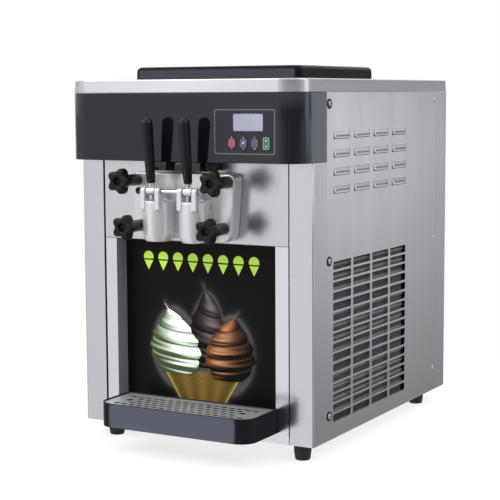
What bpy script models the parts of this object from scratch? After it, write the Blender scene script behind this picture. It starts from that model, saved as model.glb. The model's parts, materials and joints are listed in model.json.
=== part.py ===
"""Countertop soft-serve ice cream maker: two freezing cylinders, two draw levers, drip tray.

Units are metres, +Z is up, the user stands on the -Y side. Every piece is laid out from the
"machine origin": the middle of the front plates, on the floor. That origin is an empty, moved
back so that the whole object's box is centred on the world origin.
"""
import math
import bmesh
import bpy
from mathutils import Matrix, Vector

# ---- driving dimensions -------------------------------------------------------------------
WIDTH = 0.520              # over the side covers
DEPTH = 0.656              # front plates to the back cover
FOOT_H = 0.030             # the body stands this far off the floor
PANEL_Z0 = 0.564           # underside of the control panel
PANEL_Z1 = 0.694           # top of the control panel
TOP_Z = 0.719              # top of the top cover
OVERHANG = 0.053           # the control panel and the top cover stand out this far
CORNER_R = 0.045           # radius of their front corners
SHEET = 0.0015             # stainless sheet
GAP = 0.0003               # left between touching pieces
THROUGH = 0.01             # cutters run past a surface by this much
PAN_WALL = 0.002           # base pan
HALF = WIDTH / 2
PAN_TOP = FOOT_H + PAN_WALL + GAP          # what stands in the pan starts here
COLUMN_W = 0.050           # front columns
COLUMN_D = 0.055           # how far the columns wrap round the sides
REAR_WRAP = 0.056          # how far the back cover wraps round the sides
SEAM_Z = 0.4077            # seam between upper and lower front plates
SEAM_GAP = 0.001
REVEAL_LEFT = 0.0045       # open joint between the left column and the front plates
REVEAL_RIGHT = 0.0025      # and at the right column

NICHE_HALF = 0.180         # recess behind the cup
NICHE_Z0 = 0.066
NICHE_DEPTH = 0.035

HEAD_X = -0.004            # middle of the dispensing head
HEAD_FACE = 0.033          # thickness of its plate
HEAD_Z0 = 0.412
HEAD_Z1 = 0.542
HEAD_TOP_HALF = 0.1165
HEAD_LOW_HALF = 0.106
HEAD_TOP_R = 0.014
HEAD_LOW_R = 0.022
VALVE_DX = 0.041           # each valve and lever from the middle of the head
VALVE_Y = -0.055
VALVE_R = 0.029
VALVE_TOP = 0.490
PISTON_R = 0.012
PISTON_Z0 = 0.424
PISTON_Z1 = 0.514
PIVOT_Y = -0.075
PIVOT_Z = 0.509
PIN_R = 0.004
PIN_X0 = -0.072
PIN_X1 = 0.060
EAR_IN = 0.0105            # ears beside each lever, from its middle
EAR_OUT = 0.0220
EAR_Y0 = -0.0845
EAR_Y1 = -0.0655
EAR_Z0 = 0.474
EAR_RISE = 0.0085          # their round tops, above the pivot
HUB_HALF = 0.0085          # half width of the lever's hub
ARM_LEN = 0.021            # pivot to the tongue that lifts the piston
ARM_DROP = math.radians(30)
LEAN = math.radians(6.6)   # the levers lean towards the user
GRIP_FROM = 0.016          # along the lever from the pivot
GRIP_TO = 0.140
KNOB_Z_TOP = 0.527
KNOB_Z_LOW = 0.439
KNOB_DX_TOP = 0.102
KNOB_DX_LOW = 0.0925
KNOB_FRONT = -0.103
KNOB_HEAD_T = 0.022
STUD_R = 0.004
STUD_END_Y = -0.085         # the studs end inside the knobs

BARREL_X = 0.046           # freezing cylinders
BARREL_Z = 0.482
BARREL_R = 0.042
BARREL_BORE = 0.038
SEAL_R = 0.0425            # outer radius of the seal at each end
BARREL_Y0 = 0.0035
BARREL_Y1 = 0.300
FEED_Y = 0.270             # mix runs down from the hopper here
FEED_R = 0.0085
SHAFT_R = 0.006
PULLEY_Y0 = 0.356
PULLEY_Y1 = 0.372
PULLEY_R = 0.040
MOTOR_Z = 0.300
MOTOR_PULLEY_R = 0.025
BELT_T = 0.003

HOPPER_X0 = 0.006
HOPPER_X1 = 0.172
HOPPER_Y0 = 0.106
HOPPER_Y1 = 0.404
HOPPER_Z0 = 0.560
LID_X0 = -0.193
LID_X1 = 0.186
LID_Y0 = 0.090
LID_Y1 = 0.429
LID_Z1 = 0.7455
LID_R = 0.012

TRAY_X0 = -0.156
TRAY_X1 = 0.183
TRAY_Y0 = -0.1115
TRAY_Z0 = 0.050
TRAY_Z1 = 0.0973
TRAY_R = 0.033
TRAY_WALL = 0.003
TRAY_X = (TRAY_X0 + TRAY_X1) / 2
FINGER_HOLE_DX = 0.127
FINGER_HOLE_Y = -0.053
FINGER_HOLE_R = 0.0075

VENT_COLUMNS = 4
VENT_ROWS = 16
VENT_Y0 = 0.0830           # front end of the first column of vents
VENT_PITCH_Y = 0.0892
VENT_LEN = 0.0801
VENT_Z0 = 0.0619
VENT_PITCH_Z = 0.0197
VENT_H = 0.0153
LOUVRE_ROWS = 4            # pressed louvres above the vents, in as many columns
LOUVRE_Y0 = 0.0845
LOUVRE_PITCH_Y = 0.0910
LOUVRE_LEN = 0.070
LOUVRE_Z_TOP = 0.6215
LOUVRE_PITCH_Z = 0.0345
LOUVRE_H = 0.0155
LOUVRE_OUT = 0.004

GLAND_X = -0.19            # cable gland on the back cover
GLAND_Z = 0.085
GLAND_OUT = 0.018          # how far it stands out
GLAND_BORE = 0.0055

CONDENSER_X0 = 0.208
CONDENSER_X1 = 0.254
CONDENSER_Y0 = 0.074
CONDENSER_Y1 = 0.4356
CONDENSER_Z1 = 0.385
FAN_X = 0.179
FAN_Y = 0.210
FAN_Z = 0.215

BUTTON_X = (0.1186, 0.1430, 0.1670, 0.1910)
BUTTON_Z = 0.601
BUTTON_W = 0.017
BUTTON_H = 0.025
BUTTON_R = 0.006
BUTTON_OUT = 0.0012        # travel: the keys stand this far out
LCD_X = (0.121, 0.184)
LCD_Z = (0.623, 0.655)

# ---- scene --------------------------------------------------------------------------------
for old in list(bpy.data.objects):
    bpy.data.objects.remove(old)

parts = bpy.data.collections.new("ice_cream_maker")
cutters = bpy.data.collections.new("cutters")
bpy.context.scene.collection.children.link(parts)
bpy.context.scene.collection.children.link(cutters)

# The box runs from the tray's front to the cable gland's end; the empty centres it on Y.
origin = bpy.data.objects.new("machine_origin", None)
origin.location = (0, -(TRAY_Y0 + DEPTH + GLAND_OUT) / 2, 0)
parts.objects.link(origin)


def material(name, colour, roughness, metallic=0.0):
    mat = bpy.data.materials.new(name)
    mat.use_nodes = True
    shader = mat.node_tree.nodes["Principled BSDF"]
    shader.inputs["Base Color"].default_value = (*colour, 1)
    shader.inputs["Roughness"].default_value = roughness
    shader.inputs["Metallic"].default_value = metallic
    return mat


STEEL = material("brushed_stainless", (0.62, 0.61, 0.65), 0.3, 1.0)
GREY_STEEL = material("grey_sheet", (0.10, 0.10, 0.12), 0.45)
BLACK_GLOSS = material("black_gloss_plastic", (0.03, 0.03, 0.04), 0.1)
BLACK_PLASTIC = material("black_plastic", (0.02, 0.02, 0.022), 0.35)
HEAD = material("polished_head", (0.68, 0.68, 0.72), 0.2, 1.0)
RUBBER = material("black_rubber", (0.015, 0.015, 0.015), 0.8)
SILICONE = material("silicone_seal", (0.6, 0.6, 0.58), 0.6)
POSTER = material("poster_sheet", (0.02, 0.015, 0.014), 0.3)
LENS = material("display_lens", (0.38, 0.38, 0.50), 0.1)
BOARD = material("circuit_board", (0.03, 0.16, 0.06), 0.5)
KEY_RED = material("key_red", (0.55, 0.05, 0.06), 0.4)
KEY_BLUE = material("key_blue_grey", (0.09, 0.12, 0.20), 0.4)
KEY_GREEN = material("key_green", (0.05, 0.30, 0.14), 0.4)
WHITE_PLASTIC = material("white_plastic", (0.75, 0.75, 0.72), 0.4)
FOAM = material("insulation_foam", (0.70, 0.62, 0.40), 0.9)
PAINT = material("black_paint", (0.02, 0.02, 0.02), 0.4)
MOTOR_PAINT = material("motor_grey", (0.20, 0.22, 0.24), 0.5)
ALUMINIUM = material("aluminium", (0.70, 0.70, 0.72), 0.35, 1.0)


# ---- modelling helpers --------------------------------------------------------------------
def add(name, mesh, mat, smooth=False):
    """Link a mesh, laid out from the machine origin, as a part (or a cutter if mat is None)."""
    obj = bpy.data.objects.new(name, mesh)
    if mat is None:
        cutters.objects.link(obj)
        obj.hide_render = True
        obj.display_type = "WIRE"
    else:
        parts.objects.link(obj)
        mesh.materials.clear()
        mesh.materials.append(mat)
    obj.parent = origin
    if smooth:
        mesh.shade_smooth()
        mesh.set_sharp_from_angle(angle=math.radians(35))
    return obj


def mesh_from(bm, name):
    mesh = bpy.data.meshes.new(name)
    bmesh.ops.recalc_face_normals(bm, faces=bm.faces)
    bm.to_mesh(mesh)
    bm.free()
    return mesh


def boxes(name, spans, mat=None):
    """One or more boxes, each ((x0, x1), (y0, y1), (z0, z1)), in one mesh."""
    bm = bmesh.new()
    for spans_of_box in spans:
        centre = Vector([(lo + hi) / 2 for lo, hi in spans_of_box])
        size = [hi - lo for lo, hi in spans_of_box]
        place = Matrix.Translation(centre) @ Matrix.Diagonal((*size, 1))
        bmesh.ops.create_cube(bm, size=1, matrix=place)
    return add(name, mesh_from(bm, name), mat)


def box(name, x, y, z, mat=None):
    return boxes(name, [(x, y, z)], mat)


AXIS_TURN = {
    "X": Matrix.Rotation(math.pi / 2, 4, "Y"),
    "Y": Matrix.Rotation(-math.pi / 2, 4, "X"),
    "Z": Matrix.Identity(4),
}


def rods(name, ends, radius, axis, mat=None, segments=16):
    """Round bars along one axis. Each end pair is (start point, length)."""
    turn = AXIS_TURN[axis]
    bm = bmesh.new()
    for start, length in ends:
        middle = Vector(start) + turn @ Vector((0, 0, length / 2))
        bmesh.ops.create_cone(bm, cap_ends=True, segments=segments, radius1=radius, radius2=radius,
                              depth=length, matrix=Matrix.Translation(middle) @ turn)
    return add(name, mesh_from(bm, name), mat, smooth=True)


def rod(name, start, length, radius, axis, mat=None, segments=16):
    return rods(name, [(start, length)], radius, axis, mat, segments)


def rounded(corners, steps=3):
    """Outline through corners (u, v, radius), each rounded by an arc of that radius."""
    outline = []
    count = len(corners)
    for i, (u, v, radius) in enumerate(corners):
        here = Vector((u, v))
        if radius <= 0:
            outline.append(here)
            continue
        before = (Vector(corners[i - 1][:2]) - here).normalized()
        after = (Vector(corners[(i + 1) % count][:2]) - here).normalized()
        half = math.acos(max(-1, min(1, before.dot(after)))) / 2
        centre = here + (before + after).normalized() * radius / math.sin(half)
        first = here + before * radius / math.tan(half) - centre
        last = here + after * radius / math.tan(half) - centre
        sweep = math.atan2(first.x * last.y - first.y * last.x, first.dot(last))
        for step in range(steps + 1):
            outline.append(centre + Matrix.Rotation(sweep * step / steps, 2) @ first)
    return outline


def extruded(name, outlines, axis, start, end, mat=None, smooth=False):
    """A flat outline, or an outline with holes in it, extruded from start to end.

    The outline's own axes are (x, y) along Z, (x, z) along Y and (y, z) along X.
    """
    curve = bpy.data.curves.new(name, "CURVE")
    curve.dimensions = "2D"
    curve.fill_mode = "BOTH"
    curve.extrude = abs(end - start) / 2
    for outline in outlines:
        spline = curve.splines.new("POLY")
        spline.points.add(len(outline) - 1)
        for point, place in zip(spline.points, outline):
            point.co = (place[0], place[1], 0, 1)
        spline.use_cyclic_u = True
    drawn = bpy.data.objects.new(name + "_outline", curve)
    bpy.context.scene.collection.objects.link(drawn)
    turn = {
        "X": Matrix(((0, 0, 1, 0), (1, 0, 0, 0), (0, 1, 0, 0), (0, 0, 0, 1))),
        "Y": Matrix(((1, 0, 0, 0), (0, 0, -1, 0), (0, 1, 0, 0), (0, 0, 0, 1))),
        "Z": Matrix.Identity(4),
    }[axis]
    middle = Vector((0, 0, 0))
    middle["XYZ".index(axis)] = (start + end) / 2
    graph = bpy.context.evaluated_depsgraph_get()
    mesh = bpy.data.meshes.new_from_object(drawn.evaluated_get(graph))
    bpy.data.objects.remove(drawn)
    bm = bmesh.new()
    bm.from_mesh(mesh)
    bmesh.ops.transform(bm, matrix=Matrix.Translation(middle) @ turn, verts=bm.verts)
    bmesh.ops.remove_doubles(bm, verts=bm.verts, dist=0.00001)
    return add(name, mesh_from(bm, name), mat, smooth)


def turned(name, profile, place, axis, mat, segments=20):
    """Turn a profile of (radius, height) about an axis through place, top to bottom."""
    mesh = bpy.data.meshes.new(name)
    points = [(radius, 0, height) for radius, height in profile]
    edges = [(i, i + 1) for i in range(len(points) - 1)]
    closed = profile[0][0] > 0
    if closed:
        edges.append((len(points) - 1, 0))
    mesh.from_pydata(points, edges, [])
    obj = add(name, mesh, mat)
    obj.matrix_local = Matrix.Translation(place) @ AXIS_TURN[axis]
    screw = obj.modifiers.new("turn", "SCREW")
    screw.steps = segments
    screw.render_steps = segments
    screw.use_merge_vertices = True
    screw.merge_threshold = 0.00001
    screw.use_smooth_shade = True
    return obj


def combine(obj, other, operation):
    """Boolean of an object with another, which then serves only as a cutter or a filler."""
    mod = obj.modifiers.new(operation.lower(), "BOOLEAN")
    mod.operation = operation
    mod.object = other
    mod.solver = "EXACT"
    if other.name not in cutters.objects:
        parts.objects.unlink(other)
        cutters.objects.link(other)
        other.hide_render = True
        other.display_type = "WIRE"
    return obj


def cut(obj, *others):
    for other in others:
        combine(obj, other, "DIFFERENCE")
    return obj


def join(obj, *others):
    for other in others:
        combine(obj, other, "UNION")
    return obj


def set_origin(obj, place):
    """Move the object's origin, laid out from the machine origin, without moving its mesh."""
    obj.data.transform(Matrix.Translation(-Vector(place)))
    obj.location = place


def apply_modifiers(obj):
    """Bake the modifiers into the mesh, so that it can be moved or copied."""
    graph = bpy.context.evaluated_depsgraph_get()
    mesh = bpy.data.meshes.new_from_object(obj.evaluated_get(graph))
    obj.modifiers.clear()
    obj.data = mesh


def rectangle(x0, x1, y0, y1, radius=0.0):
    return rounded([(x0, y0, radius), (x1, y0, radius), (x1, y1, radius), (x0, y1, radius)])


def front_rounded(x0, x1, y0, y1, radius):
    """Rectangle whose two front (low v) corners are rounded."""
    return rounded([(x0, y0, radius), (x1, y0, radius), (x1, y1, 0), (x0, y1, 0)], steps=5)


# ---- casing -------------------------------------------------------------------------------
def base_pan():
    height = 0.015
    x = HALF - SHEET - GAP
    y0 = SHEET + GAP
    y1 = DEPTH - SHEET - GAP
    pan = box("base_pan", (-x, x), (y0, y1), (FOOT_H, FOOT_H + height), STEEL)
    cut(pan, box("pan_pocket", (-x + PAN_WALL, x - PAN_WALL), (y0 + PAN_WALL, y1 - PAN_WALL),
                 (FOOT_H + PAN_WALL, FOOT_H + 2 * height)))


def front_columns():
    for side, sign in (("left", -1), ("right", 1)):
        inner = HALF - COLUMN_W
        outline = [
            (sign * inner, 0), (sign * HALF, 0), (sign * HALF, COLUMN_D),
            (sign * (HALF - SHEET), COLUMN_D), (sign * (HALF - SHEET), SHEET),
            (sign * inner, SHEET),
        ]
        extruded(f"front_column_{side}", [outline], "Z", FOOT_H + GAP, PANEL_Z0 - GAP, STEEL)


def front_plates():
    x = (-HALF + COLUMN_W + REVEAL_LEFT, HALF - COLUMN_W - REVEAL_RIGHT)
    upper = box("front_plate_upper", x, (0, SHEET), (SEAM_Z, PANEL_Z0 - GAP), STEEL)
    cut(upper, extruded("seal_opening", [seal_outline(SEAL_R + 0.001)], "Y", -THROUGH, THROUGH))
    cut(upper, rods("plate_stud_holes", stud_ends(-THROUGH, THROUGH), STUD_R + 2 * GAP, "Y",
                    segments=8))

    lower = box("front_plate_lower", x, (0, SHEET), (FOOT_H + GAP, SEAM_Z - SEAM_GAP), STEEL)
    cut(lower, box("niche_opening", (-NICHE_HALF, NICHE_HALF), (-THROUGH, THROUGH),
                   (NICHE_Z0, SEAM_Z + THROUGH)))
    slots = [((x0 - 2 * GAP, x1 + 2 * GAP), (-THROUGH, THROUGH), (z0 - 2 * GAP, z1 + 2 * GAP))
             for (x0, x1), _, (z0, z1) in tray_hooks()]
    cut(lower, boxes("hook_slots", slots))


def splash_recess():
    """Recess behind the cup, and the printed sheet on its back."""
    wall = 0.0012
    shell = box("splash_recess", (-NICHE_HALF - wall, NICHE_HALF + wall),
                (SHEET + GAP, NICHE_DEPTH + wall), (NICHE_Z0 - wall, SEAM_Z), GREY_STEEL)
    cut(shell, box("niche_space", (-NICHE_HALF, NICHE_HALF), (-THROUGH, NICHE_DEPTH),
                   (NICHE_Z0, SEAM_Z - wall)))
    back = NICHE_DEPTH - GAP
    box("poster_panel", (-NICHE_HALF + GAP, NICHE_HALF - GAP), (back - wall, back),
        (NICHE_Z0 + GAP, SEAM_Z - wall - GAP), POSTER)


def side_covers():
    slots = []
    for column in range(VENT_COLUMNS):
        y = VENT_Y0 + column * VENT_PITCH_Y
        for row in range(VENT_ROWS):
            z = VENT_Z0 + row * VENT_PITCH_Z
            slots.append(((-1, 1), (y, y + VENT_LEN), (z, z + VENT_H)))
    for side, sign in (("left", -1), ("right", 1)):
        x = sorted((sign * HALF, sign * (HALF - SHEET)))
        cover = box(f"side_cover_{side}", x, (COLUMN_D + GAP, DEPTH - REAR_WRAP - GAP),
                    (FOOT_H + GAP, PANEL_Z1 - GAP), STEEL)
        press_louvres(cover, sign)
        cut(cover, boxes(f"vent_slots_{side}", slots))


def press_louvres(cover, sign):
    """Press louvres out of a side cover: hoods that are hollow behind and open below."""
    skin = 0.0012
    lip_h = 0.004
    outer = sign * HALF
    inner = sign * (HALF - SHEET)
    lip = sign * (HALF + LOUVRE_OUT)
    lip_inside = sign * (HALF + LOUVRE_OUT - skin)
    behind = sign * (HALF - THROUGH)
    hoods = []
    hollows = []
    for row in range(LOUVRE_ROWS):
        top = LOUVRE_Z_TOP - row * LOUVRE_PITCH_Z
        low = top - LOUVRE_H
        hoods.append([(inner, low), (lip, low), (lip, low + lip_h), (outer, top), (inner, top)])
        hollows.append([(behind, low - 0.001), (lip_inside, low - 0.001),
                        (lip_inside, low + lip_h - 0.001), (outer - sign * 0.0005, top - 0.003),
                        (behind, top - 0.003)])
    starts = [LOUVRE_Y0 + column * LOUVRE_PITCH_Y for column in range(VENT_COLUMNS)]
    for y in starts:
        join(cover, extruded("louvre_hoods", hoods, "Y", y, y + LOUVRE_LEN))
    for y in starts:
        cut(cover, extruded("louvre_hollows", hollows, "Y", y + SHEET, y + LOUVRE_LEN - SHEET))


def back_cover():
    """Back sheet with its sides wrapped forward, louvre slots and the cable gland."""
    y0 = DEPTH - REAR_WRAP
    inner = HALF - SHEET
    outline = [
        (-HALF, y0), (-inner, y0), (-inner, DEPTH - SHEET), (inner, DEPTH - SHEET),
        (inner, y0), (HALF, y0), (HALF, DEPTH), (-HALF, DEPTH),
    ]
    cover = extruded("back_cover", [outline], "Z", FOOT_H + GAP, PANEL_Z1 - GAP, STEEL)
    slot_w = 0.080
    slot_h = 0.009
    slots = []
    for column in range(3):
        x0 = -0.135 + column * 0.095
        for row in range(8):
            z0 = 0.25 + row * 0.026
            slots.append(((x0, x0 + slot_w), (DEPTH - THROUGH, DEPTH + THROUGH), (z0, z0 + slot_h)))
    cut(cover, boxes("back_slots", slots))
    hole_r = 0.0105
    cut(cover, rod("gland_hole", (GLAND_X, DEPTH - THROUGH, GLAND_Z), 2 * THROUGH, hole_r, "Y"))

    flange_r = 0.0145
    barrel_r = 0.0100
    behind = -0.012
    profile = [(0.0120, GLAND_OUT), (flange_r, GLAND_OUT - 0.003), (flange_r, GAP), (barrel_r, GAP),
               (barrel_r, behind), (GLAND_BORE, behind), (GLAND_BORE, 0.012), (0.0072, GLAND_OUT)]
    turned("cable_gland", profile, (GLAND_X, DEPTH, GLAND_Z), "Y", BLACK_PLASTIC)


def top_cover():
    y0 = -OVERHANG
    skin = extruded("top_cover", [front_rounded(-HALF, HALF, y0, DEPTH, CORNER_R)],
                    "Z", PANEL_Z1, TOP_Z, STEEL, smooth=True)
    inside = front_rounded(-HALF + SHEET, HALF - SHEET, y0 + SHEET, DEPTH - SHEET, CORNER_R - SHEET)
    cut(skin, extruded("top_hollow", [inside], "Z", PANEL_Z1 - THROUGH, TOP_Z - SHEET))
    holes = []
    for sign in (-1, 1):
        x = sorted((sign * (HOPPER_X0 - GAP), sign * (HOPPER_X1 + GAP)))
        holes.append((x, (HOPPER_Y0 - GAP, HOPPER_Y1 + GAP), (TOP_Z - THROUGH, TOP_Z + THROUGH)))
    cut(skin, boxes("hopper_openings", holes))


def control_panel():
    wall = 0.003
    y0 = -OVERHANG
    z0 = PANEL_Z0
    z1 = PANEL_Z1 - GAP
    panel = extruded("control_panel", [front_rounded(-HALF, HALF, y0, COLUMN_D, CORNER_R)],
                     "Z", z0, z1, BLACK_GLOSS, smooth=True)
    inside = front_rounded(-HALF + wall, HALF - wall, y0 + wall, COLUMN_D + THROUGH, CORNER_R - wall)
    cut(panel, extruded("panel_hollow", [inside], "Z", z0 + wall, z1 + THROUGH))
    cut(panel, box("lcd_window", LCD_X, (y0 - THROUGH, y0 + THROUGH), LCD_Z))
    for x in BUTTON_X:
        cut(panel, extruded("button_hole", [key_outline(x, GAP)], "Y", y0 - THROUGH, y0 + THROUGH))

    lens_y = (y0 + 0.0005, y0 + 0.0028)
    box("display_lens", (LCD_X[0] + GAP, LCD_X[1] - GAP), lens_y,
        (LCD_Z[0] + GAP, LCD_Z[1] - GAP), LENS)
    board_y = y0 + 0.0125
    box("control_board", (0.088, 0.204), (board_y, board_y + 0.0016), (0.582, 0.664), BOARD)
    key_back = y0 + 0.009
    for x, kind, mat in zip(BUTTON_X, ("stop", "mode", "adjust", "auto"),
                            (KEY_RED, KEY_BLUE, KEY_BLUE, KEY_GREEN)):
        key = extruded(f"button_{kind}", [key_outline(x, 0)], "Y", y0 - BUTTON_OUT, key_back, mat)
        set_origin(key, (x, y0, BUTTON_Z))


def key_outline(x, grow):
    """Outline of the key at x, grown all round for its hole."""
    half_w = BUTTON_W / 2 + grow
    half_h = BUTTON_H / 2 + grow
    return rectangle(x - half_w, x + half_w, BUTTON_Z - half_h, BUTTON_Z + half_h, BUTTON_R + grow)


def lever_switch_cover():
    """Black box under the control panel, over the levers' micro switches."""
    box("lever_switch_cover", (-0.064, 0.062), (-0.046, -GAP), (HEAD_Z1 + 0.004, PANEL_Z0 - GAP),
        BLACK_GLOSS)


def feet():
    """Four rubber feet. The front left one stands further in than the others."""
    places = {
        "front_left": (-0.203, 0.0245), "front_right": (0.2247, 0.0245),
        "rear_left": (-0.2247, 0.578), "rear_right": (0.2247, 0.578),
    }
    top = FOOT_H - GAP
    profile = [(0, top), (0.0170, top), (0.0158, 0.010), (0.0148, 0.002), (0.0136, 0), (0, 0)]
    for name, (x, y) in places.items():
        turned(f"foot_{name}", profile, (x, y, 0), "Z", RUBBER, segments=16)


# ---- mix hoppers and freezing cylinders ---------------------------------------------------
def hoppers():
    wall = 0.0012
    rim = 0.006
    drain_r = 0.011
    for side, sign in (("left", -1), ("right", 1)):
        x = sorted((sign * HOPPER_X0, sign * HOPPER_X1))
        tub = box(f"mix_hopper_{side}", x, (HOPPER_Y0, HOPPER_Y1), (HOPPER_Z0, TOP_Z + 0.001), STEEL)
        rim_x = sorted((sign * (HOPPER_X0 - 0.005), sign * (HOPPER_X1 + rim)))
        join(tub, box(f"hopper_rim_{side}", rim_x, (HOPPER_Y0 - rim, HOPPER_Y1 + rim),
                      (TOP_Z + GAP, TOP_Z + GAP + wall)))
        drain = (sign * BARREL_X, FEED_Y, BARREL_Z + BARREL_R + 0.002)
        join(tub, rod(f"drain_{side}", drain, HOPPER_Z0 - drain[2] + 0.001, drain_r, "Z"))
        cut(tub, box(f"hopper_space_{side}", (x[0] + wall, x[1] - wall),
                     (HOPPER_Y0 + wall, HOPPER_Y1 - wall), (HOPPER_Z0 + wall, TOP_Z + 0.1)))
        cut(tub, rod(f"drain_bore_{side}", (drain[0], drain[1], BARREL_Z), 0.12, FEED_R, "Z"))
        tube = [(0.0080, 0.118), (0.0080, 0.002), (0.0055, 0), (0.0055, 0.118)]
        turned(f"air_tube_{side}", tube, (drain[0], drain[1], drain[2] + 0.002), "Z",
               WHITE_PLASTIC, segments=12)


def hopper_lid():
    wall = 0.003
    outer = rectangle(LID_X0, LID_X1, LID_Y0, LID_Y1, LID_R)
    lid = extruded("hopper_lid", [outer], "Z", TOP_Z + GAP, LID_Z1, BLACK_PLASTIC, smooth=True)
    inside = rectangle(LID_X0 + wall, LID_X1 - wall, LID_Y0 + wall, LID_Y1 - wall, LID_R - wall)
    cut(lid, extruded("lid_hollow", [inside], "Z", TOP_Z - THROUGH, LID_Z1 - wall))
    set_origin(lid, ((LID_X0 + LID_X1) / 2, (LID_Y0 + LID_Y1) / 2, TOP_Z))


def freezing_cylinders():
    length = BARREL_Y1 - BARREL_Y0
    for side, sign in (("left", -1), ("right", 1)):
        place = (sign * BARREL_X, BARREL_Y0, BARREL_Z)
        back = length - 0.004
        profile = [(SHAFT_R + GAP, length), (BARREL_R, length), (BARREL_R, 0), (BARREL_BORE, 0),
                   (BARREL_BORE, back), (SHAFT_R + GAP, back)]
        barrel = turned(f"freezing_cylinder_{side}", profile, place, "Y", STEEL, segments=24)
        cut(barrel, rod(f"feed_hole_{side}", (sign * BARREL_X, FEED_Y, BARREL_Z + 0.02), 0.04,
                        FEED_R, "Z"))


def cylinder_insulation():
    """Foam round both cylinders, moulded in one block."""
    outline = rectangle(-0.108, 0.108, BARREL_Z - 0.054, BARREL_Z + 0.0415, 0.012)
    foam = extruded("cylinder_insulation", [outline], "Y", 0.012, BARREL_Y1 - 0.004, FOAM)
    bores = [((s * BARREL_X, 0, BARREL_Z), 0.4) for s in (-1, 1)]
    cut(foam, rods("foam_bores", bores, BARREL_R + 0.0006, "Y", segments=24))


def beaters():
    """Shaft with a helical scraper flight, from the head's bushing to the pulley."""
    start = 0.010
    length = BARREL_Y1 - 0.008 - start
    turns = 3
    steps = 12
    for side, sign in (("left", -1), ("right", 1)):
        mesh = bpy.data.meshes.new(f"flight_{side}")
        mesh.from_pydata([(0.004, 0, 0), (BARREL_BORE - 0.0012, 0, 0)], [(0, 1)], [])
        flight = add(f"flight_{side}", mesh, None)
        flight.matrix_local = (Matrix.Translation((sign * BARREL_X, start, BARREL_Z))
                               @ AXIS_TURN["Y"])
        screw = flight.modifiers.new("wind", "SCREW")
        screw.angle = math.tau * turns
        screw.screw_offset = length
        screw.steps = steps * turns
        screw.render_steps = steps * turns
        screw.use_merge_vertices = False
        thick = flight.modifiers.new("thickness", "SOLIDIFY")
        thick.thickness = 0.003
        thick.offset = 0
        shaft = rod(f"beater_{side}", (sign * BARREL_X, 0.006, BARREL_Z), PULLEY_Y1 - 0.004, SHAFT_R,
                    "Y", WHITE_PLASTIC)
        join(shaft, flight)
        apply_modifiers(shaft)
        set_origin(shaft, (sign * BARREL_X, 0.006, BARREL_Z))


def flange_plate():
    """Plate that carries both cylinders and the four studs that the head hangs on."""
    outline = rectangle(HEAD_X - 0.112, HEAD_X + 0.112, 0.426, 0.540, 0.006)
    plate = extruded("flange_plate", [outline], "Y", BARREL_Y0, BARREL_Y0 + 0.003, STEEL)
    bores = [((s * BARREL_X, -0.01, BARREL_Z), 0.05) for s in (-1, 1)]
    join(plate, rods("studs", stud_ends(STUD_END_Y, BARREL_Y0 + 0.0015), STUD_R, "Y", segments=8))
    cut(plate, rods("flange_bores", bores, BARREL_R + GAP, "Y", segments=24))


def stud_ends(y0, y1):
    return [((x, y0, z), y1 - y0) for x, z in knob_places().values()]


def knob_places():
    return {
        "upper_left": (HEAD_X - KNOB_DX_TOP, KNOB_Z_TOP),
        "upper_right": (HEAD_X + KNOB_DX_TOP, KNOB_Z_TOP),
        "lower_left": (HEAD_X - KNOB_DX_LOW, KNOB_Z_LOW),
        "lower_right": (HEAD_X + KNOB_DX_LOW, KNOB_Z_LOW),
    }


# ---- dispensing head ----------------------------------------------------------------------
def dispensing_head():
    """Cast head: a plate with two upright valve bodies, and ears for the levers' pin."""
    z0 = HEAD_Z0
    z1 = HEAD_Z1
    outline = rounded([
        (HEAD_X - HEAD_LOW_HALF, z0, HEAD_LOW_R), (HEAD_X + HEAD_LOW_HALF, z0, HEAD_LOW_R),
        (HEAD_X + HEAD_TOP_HALF, z1, HEAD_TOP_R), (HEAD_X - HEAD_TOP_HALF, z1, HEAD_TOP_R)])
    head = extruded("dispensing_head", [outline], "Y", -HEAD_FACE, -GAP, HEAD)
    ear_top = PIVOT_Z + EAR_RISE
    ear_r = 0.008
    ear = rounded([(EAR_Y0, EAR_Z0, 0), (EAR_Y1, EAR_Z0, 0), (EAR_Y1, ear_top, ear_r),
                   (EAR_Y0, ear_top, ear_r)])
    for side, x in valve_places().items():
        join(head, rod(f"valve_body_{side}", (x, VALVE_Y, z0), VALVE_TOP - z0, VALVE_R, "Z",
                       segments=24))
        for edge in (-1, 1):
            join(head, extruded(f"ear_{side}_{edge}", [ear], "X", x + edge * EAR_IN,
                                x + edge * EAR_OUT))
    channel_r = 0.009
    channel_z = 0.457
    for side, x in valve_places().items():
        cut(head, rod(f"valve_bore_{side}", (x, VALVE_Y, z0 - THROUGH), 0.14, PISTON_R + GAP, "Z",
                      segments=20))
        cut(head, rod(f"mix_channel_{side}", (x, VALVE_Y, channel_z), 0.10, channel_r, "Y",
                      segments=10))
        # Room for the lever's tongue behind the pivot.
        cut(head, box(f"tongue_room_{side}", (x - HUB_HALF - 0.001, x + HUB_HALF + 0.001),
                      (-0.1, VALVE_Y), (VALVE_TOP, ear_top + THROUGH)))
    cut(head, rod("pin_hole", (HEAD_X - 0.1, PIVOT_Y, PIVOT_Z), 0.2, PIN_R + GAP, "X", segments=12))
    cut(head, rods("head_stud_holes", stud_ends(-0.05, THROUGH), STUD_R + GAP, "Y", segments=8))


def valve_places():
    return {"left": HEAD_X - VALVE_DX, "right": HEAD_X + VALVE_DX}


def seal_outline(radius):
    """Outline round both cylinders."""
    x = BARREL_X + radius
    z0 = BARREL_Z - radius
    z1 = BARREL_Z + radius
    return rounded([(-x, z0, radius), (x, z0, radius), (x, z1, radius), (-x, z1, radius)], steps=6)


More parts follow.
